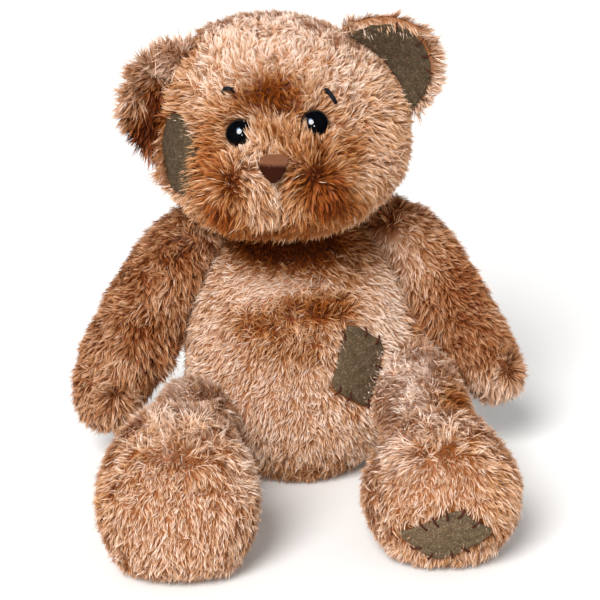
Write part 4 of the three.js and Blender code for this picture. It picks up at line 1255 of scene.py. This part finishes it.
# Over each sole the pile parts along the seam.
LEG_PARTING = {"left": ((64, -139, 59), (22, 12, 4), 0.55), "right": ((-52, -152, 62), (26, 12, 4.5), 0.62)}
leg_hard = hard_parts("leg_hard", "foot_patch")
for side, way in (("left", 1), ("right", -1)):
    at, _ = points_of(forms["leg_" + side])
    leg = {
        "nap": np.tile(np.array([way * 0.25, -1.0, -0.4]), (len(at), 1)),
        "lay": np.full(len(at), 0.6),
        "tone": np.full(len(at), 0.64),
        "pile": np.full(len(at), 0.75),
        "thick": 1 + 0.35 * near(at, (way * 57, -70, 66), (28, 60, 22)),
    }
    for stroke in LEG_STROKES[side]:
        comb(leg, at, *stroke)
    parting(leg, at, *LEG_PARTING[side])
    if side == "left":
        stand_round(leg, at, "foot_patch", 8)
    sew(
        forms["leg_" + side],
        leg,
        PANELS["leg_" + side],
        leg_hard,
        TAN_PLUSH,
        seed=400 if side == "left" else 410,
        lock_size=FINE_LOCKS,
    )

# ---- Foot patch --------------------------------------------------------------------------------
# A diamond of the felt on the left sole, over its worn-through middle, whipped round with stitches of
# the brown thread.

foot_patch = felt_sheet("felt_foot_patch", "foot_patch")
whipped(foot_patch, (148, 122, 92, 64, 30, 322, 284, 238, 204))

# The pile is all grown, so what it was kept off goes.
for hard in (head_hard, body_hard, leg_hard):
    bpy.data.objects.remove(hard)

# ---- Floor and light ---------------------------------------------------------------------------
# A plain pale floor that runs out of sight, and soft light: a broad sun, a small lamp that gives the
# eyes their spark, and a glint from a cool sky.

FLOOR_LEVEL, FLOOR_HALF = -0.5 * MM, 6
corners = [(FLOOR_HALF * x, FLOOR_HALF * y, FLOOR_LEVEL) for x, y in ((-1, -1), (1, -1), (1, 1), (-1, 1))]
floor_mesh = bpy.data.meshes.new("floor")
floor_mesh.from_pydata(corners, [], [(0, 1, 2, 3)])
floor = linked("floor", floor_mesh)
material, tree = blank_material("Pale paper")
paper = node(tree, "ShaderNodeBsdfPrincipled", {"Base Color": linear("#F4F3F1"), "Roughness": 0.9})
node(tree, "ShaderNodeOutputMaterial", {0: paper})
floor.data.materials.append(material)
# Neither the floor nor the room shows in the gloss of the eyes and the pile.
floor.visible_glossy = False

world = bpy.data.worlds.new("soft room")
bpy.context.scene.world = world
world.use_nodes = True
world.cycles_visibility.glossy = False
world.node_tree.nodes["Background"].inputs[0].default_value = linear("#FFFFFF")
world.node_tree.nodes["Background"].inputs[1].default_value = 0.5
# Each light's place, size (an angle for the sun, or metres across) and power. The last is only a cool glint
# on the pile and the eyes, and adds nothing to the colours.
for name, kind, spot, size, power in (
    ("window", "SUN", (-0.7, -1.7, 1.7), math.radians(28), 3.7),
    ("eye light", "AREA", (0.02, -1.6, 0.75), 0.14, 3.0),
    ("sky light", "AREA", (-0.6, -0.9, 1.5), 0.55, 9.0),
):
    lamp = bpy.data.lights.new(name, kind)
    lamp.energy = power
    if kind == "SUN":
        lamp.angle = size
    else:
        lamp.shape = "DISK"
        lamp.size = size
    if name == "sky light":
        lamp.color = (0.42, 0.62, 1.0)
    box = bpy.data.objects.new(name, lamp)
    box.visible_diffuse = name != "sky light"
    box.location = spot
    box.rotation_euler = (Vector((0, 0, 0.1)) - Vector(spot)).to_track_quat("-Z", "Y").to_euler()
    bpy.context.scene.collection.objects.link(box)
bpy.context.scene.view_settings.view_transform = "Standard"
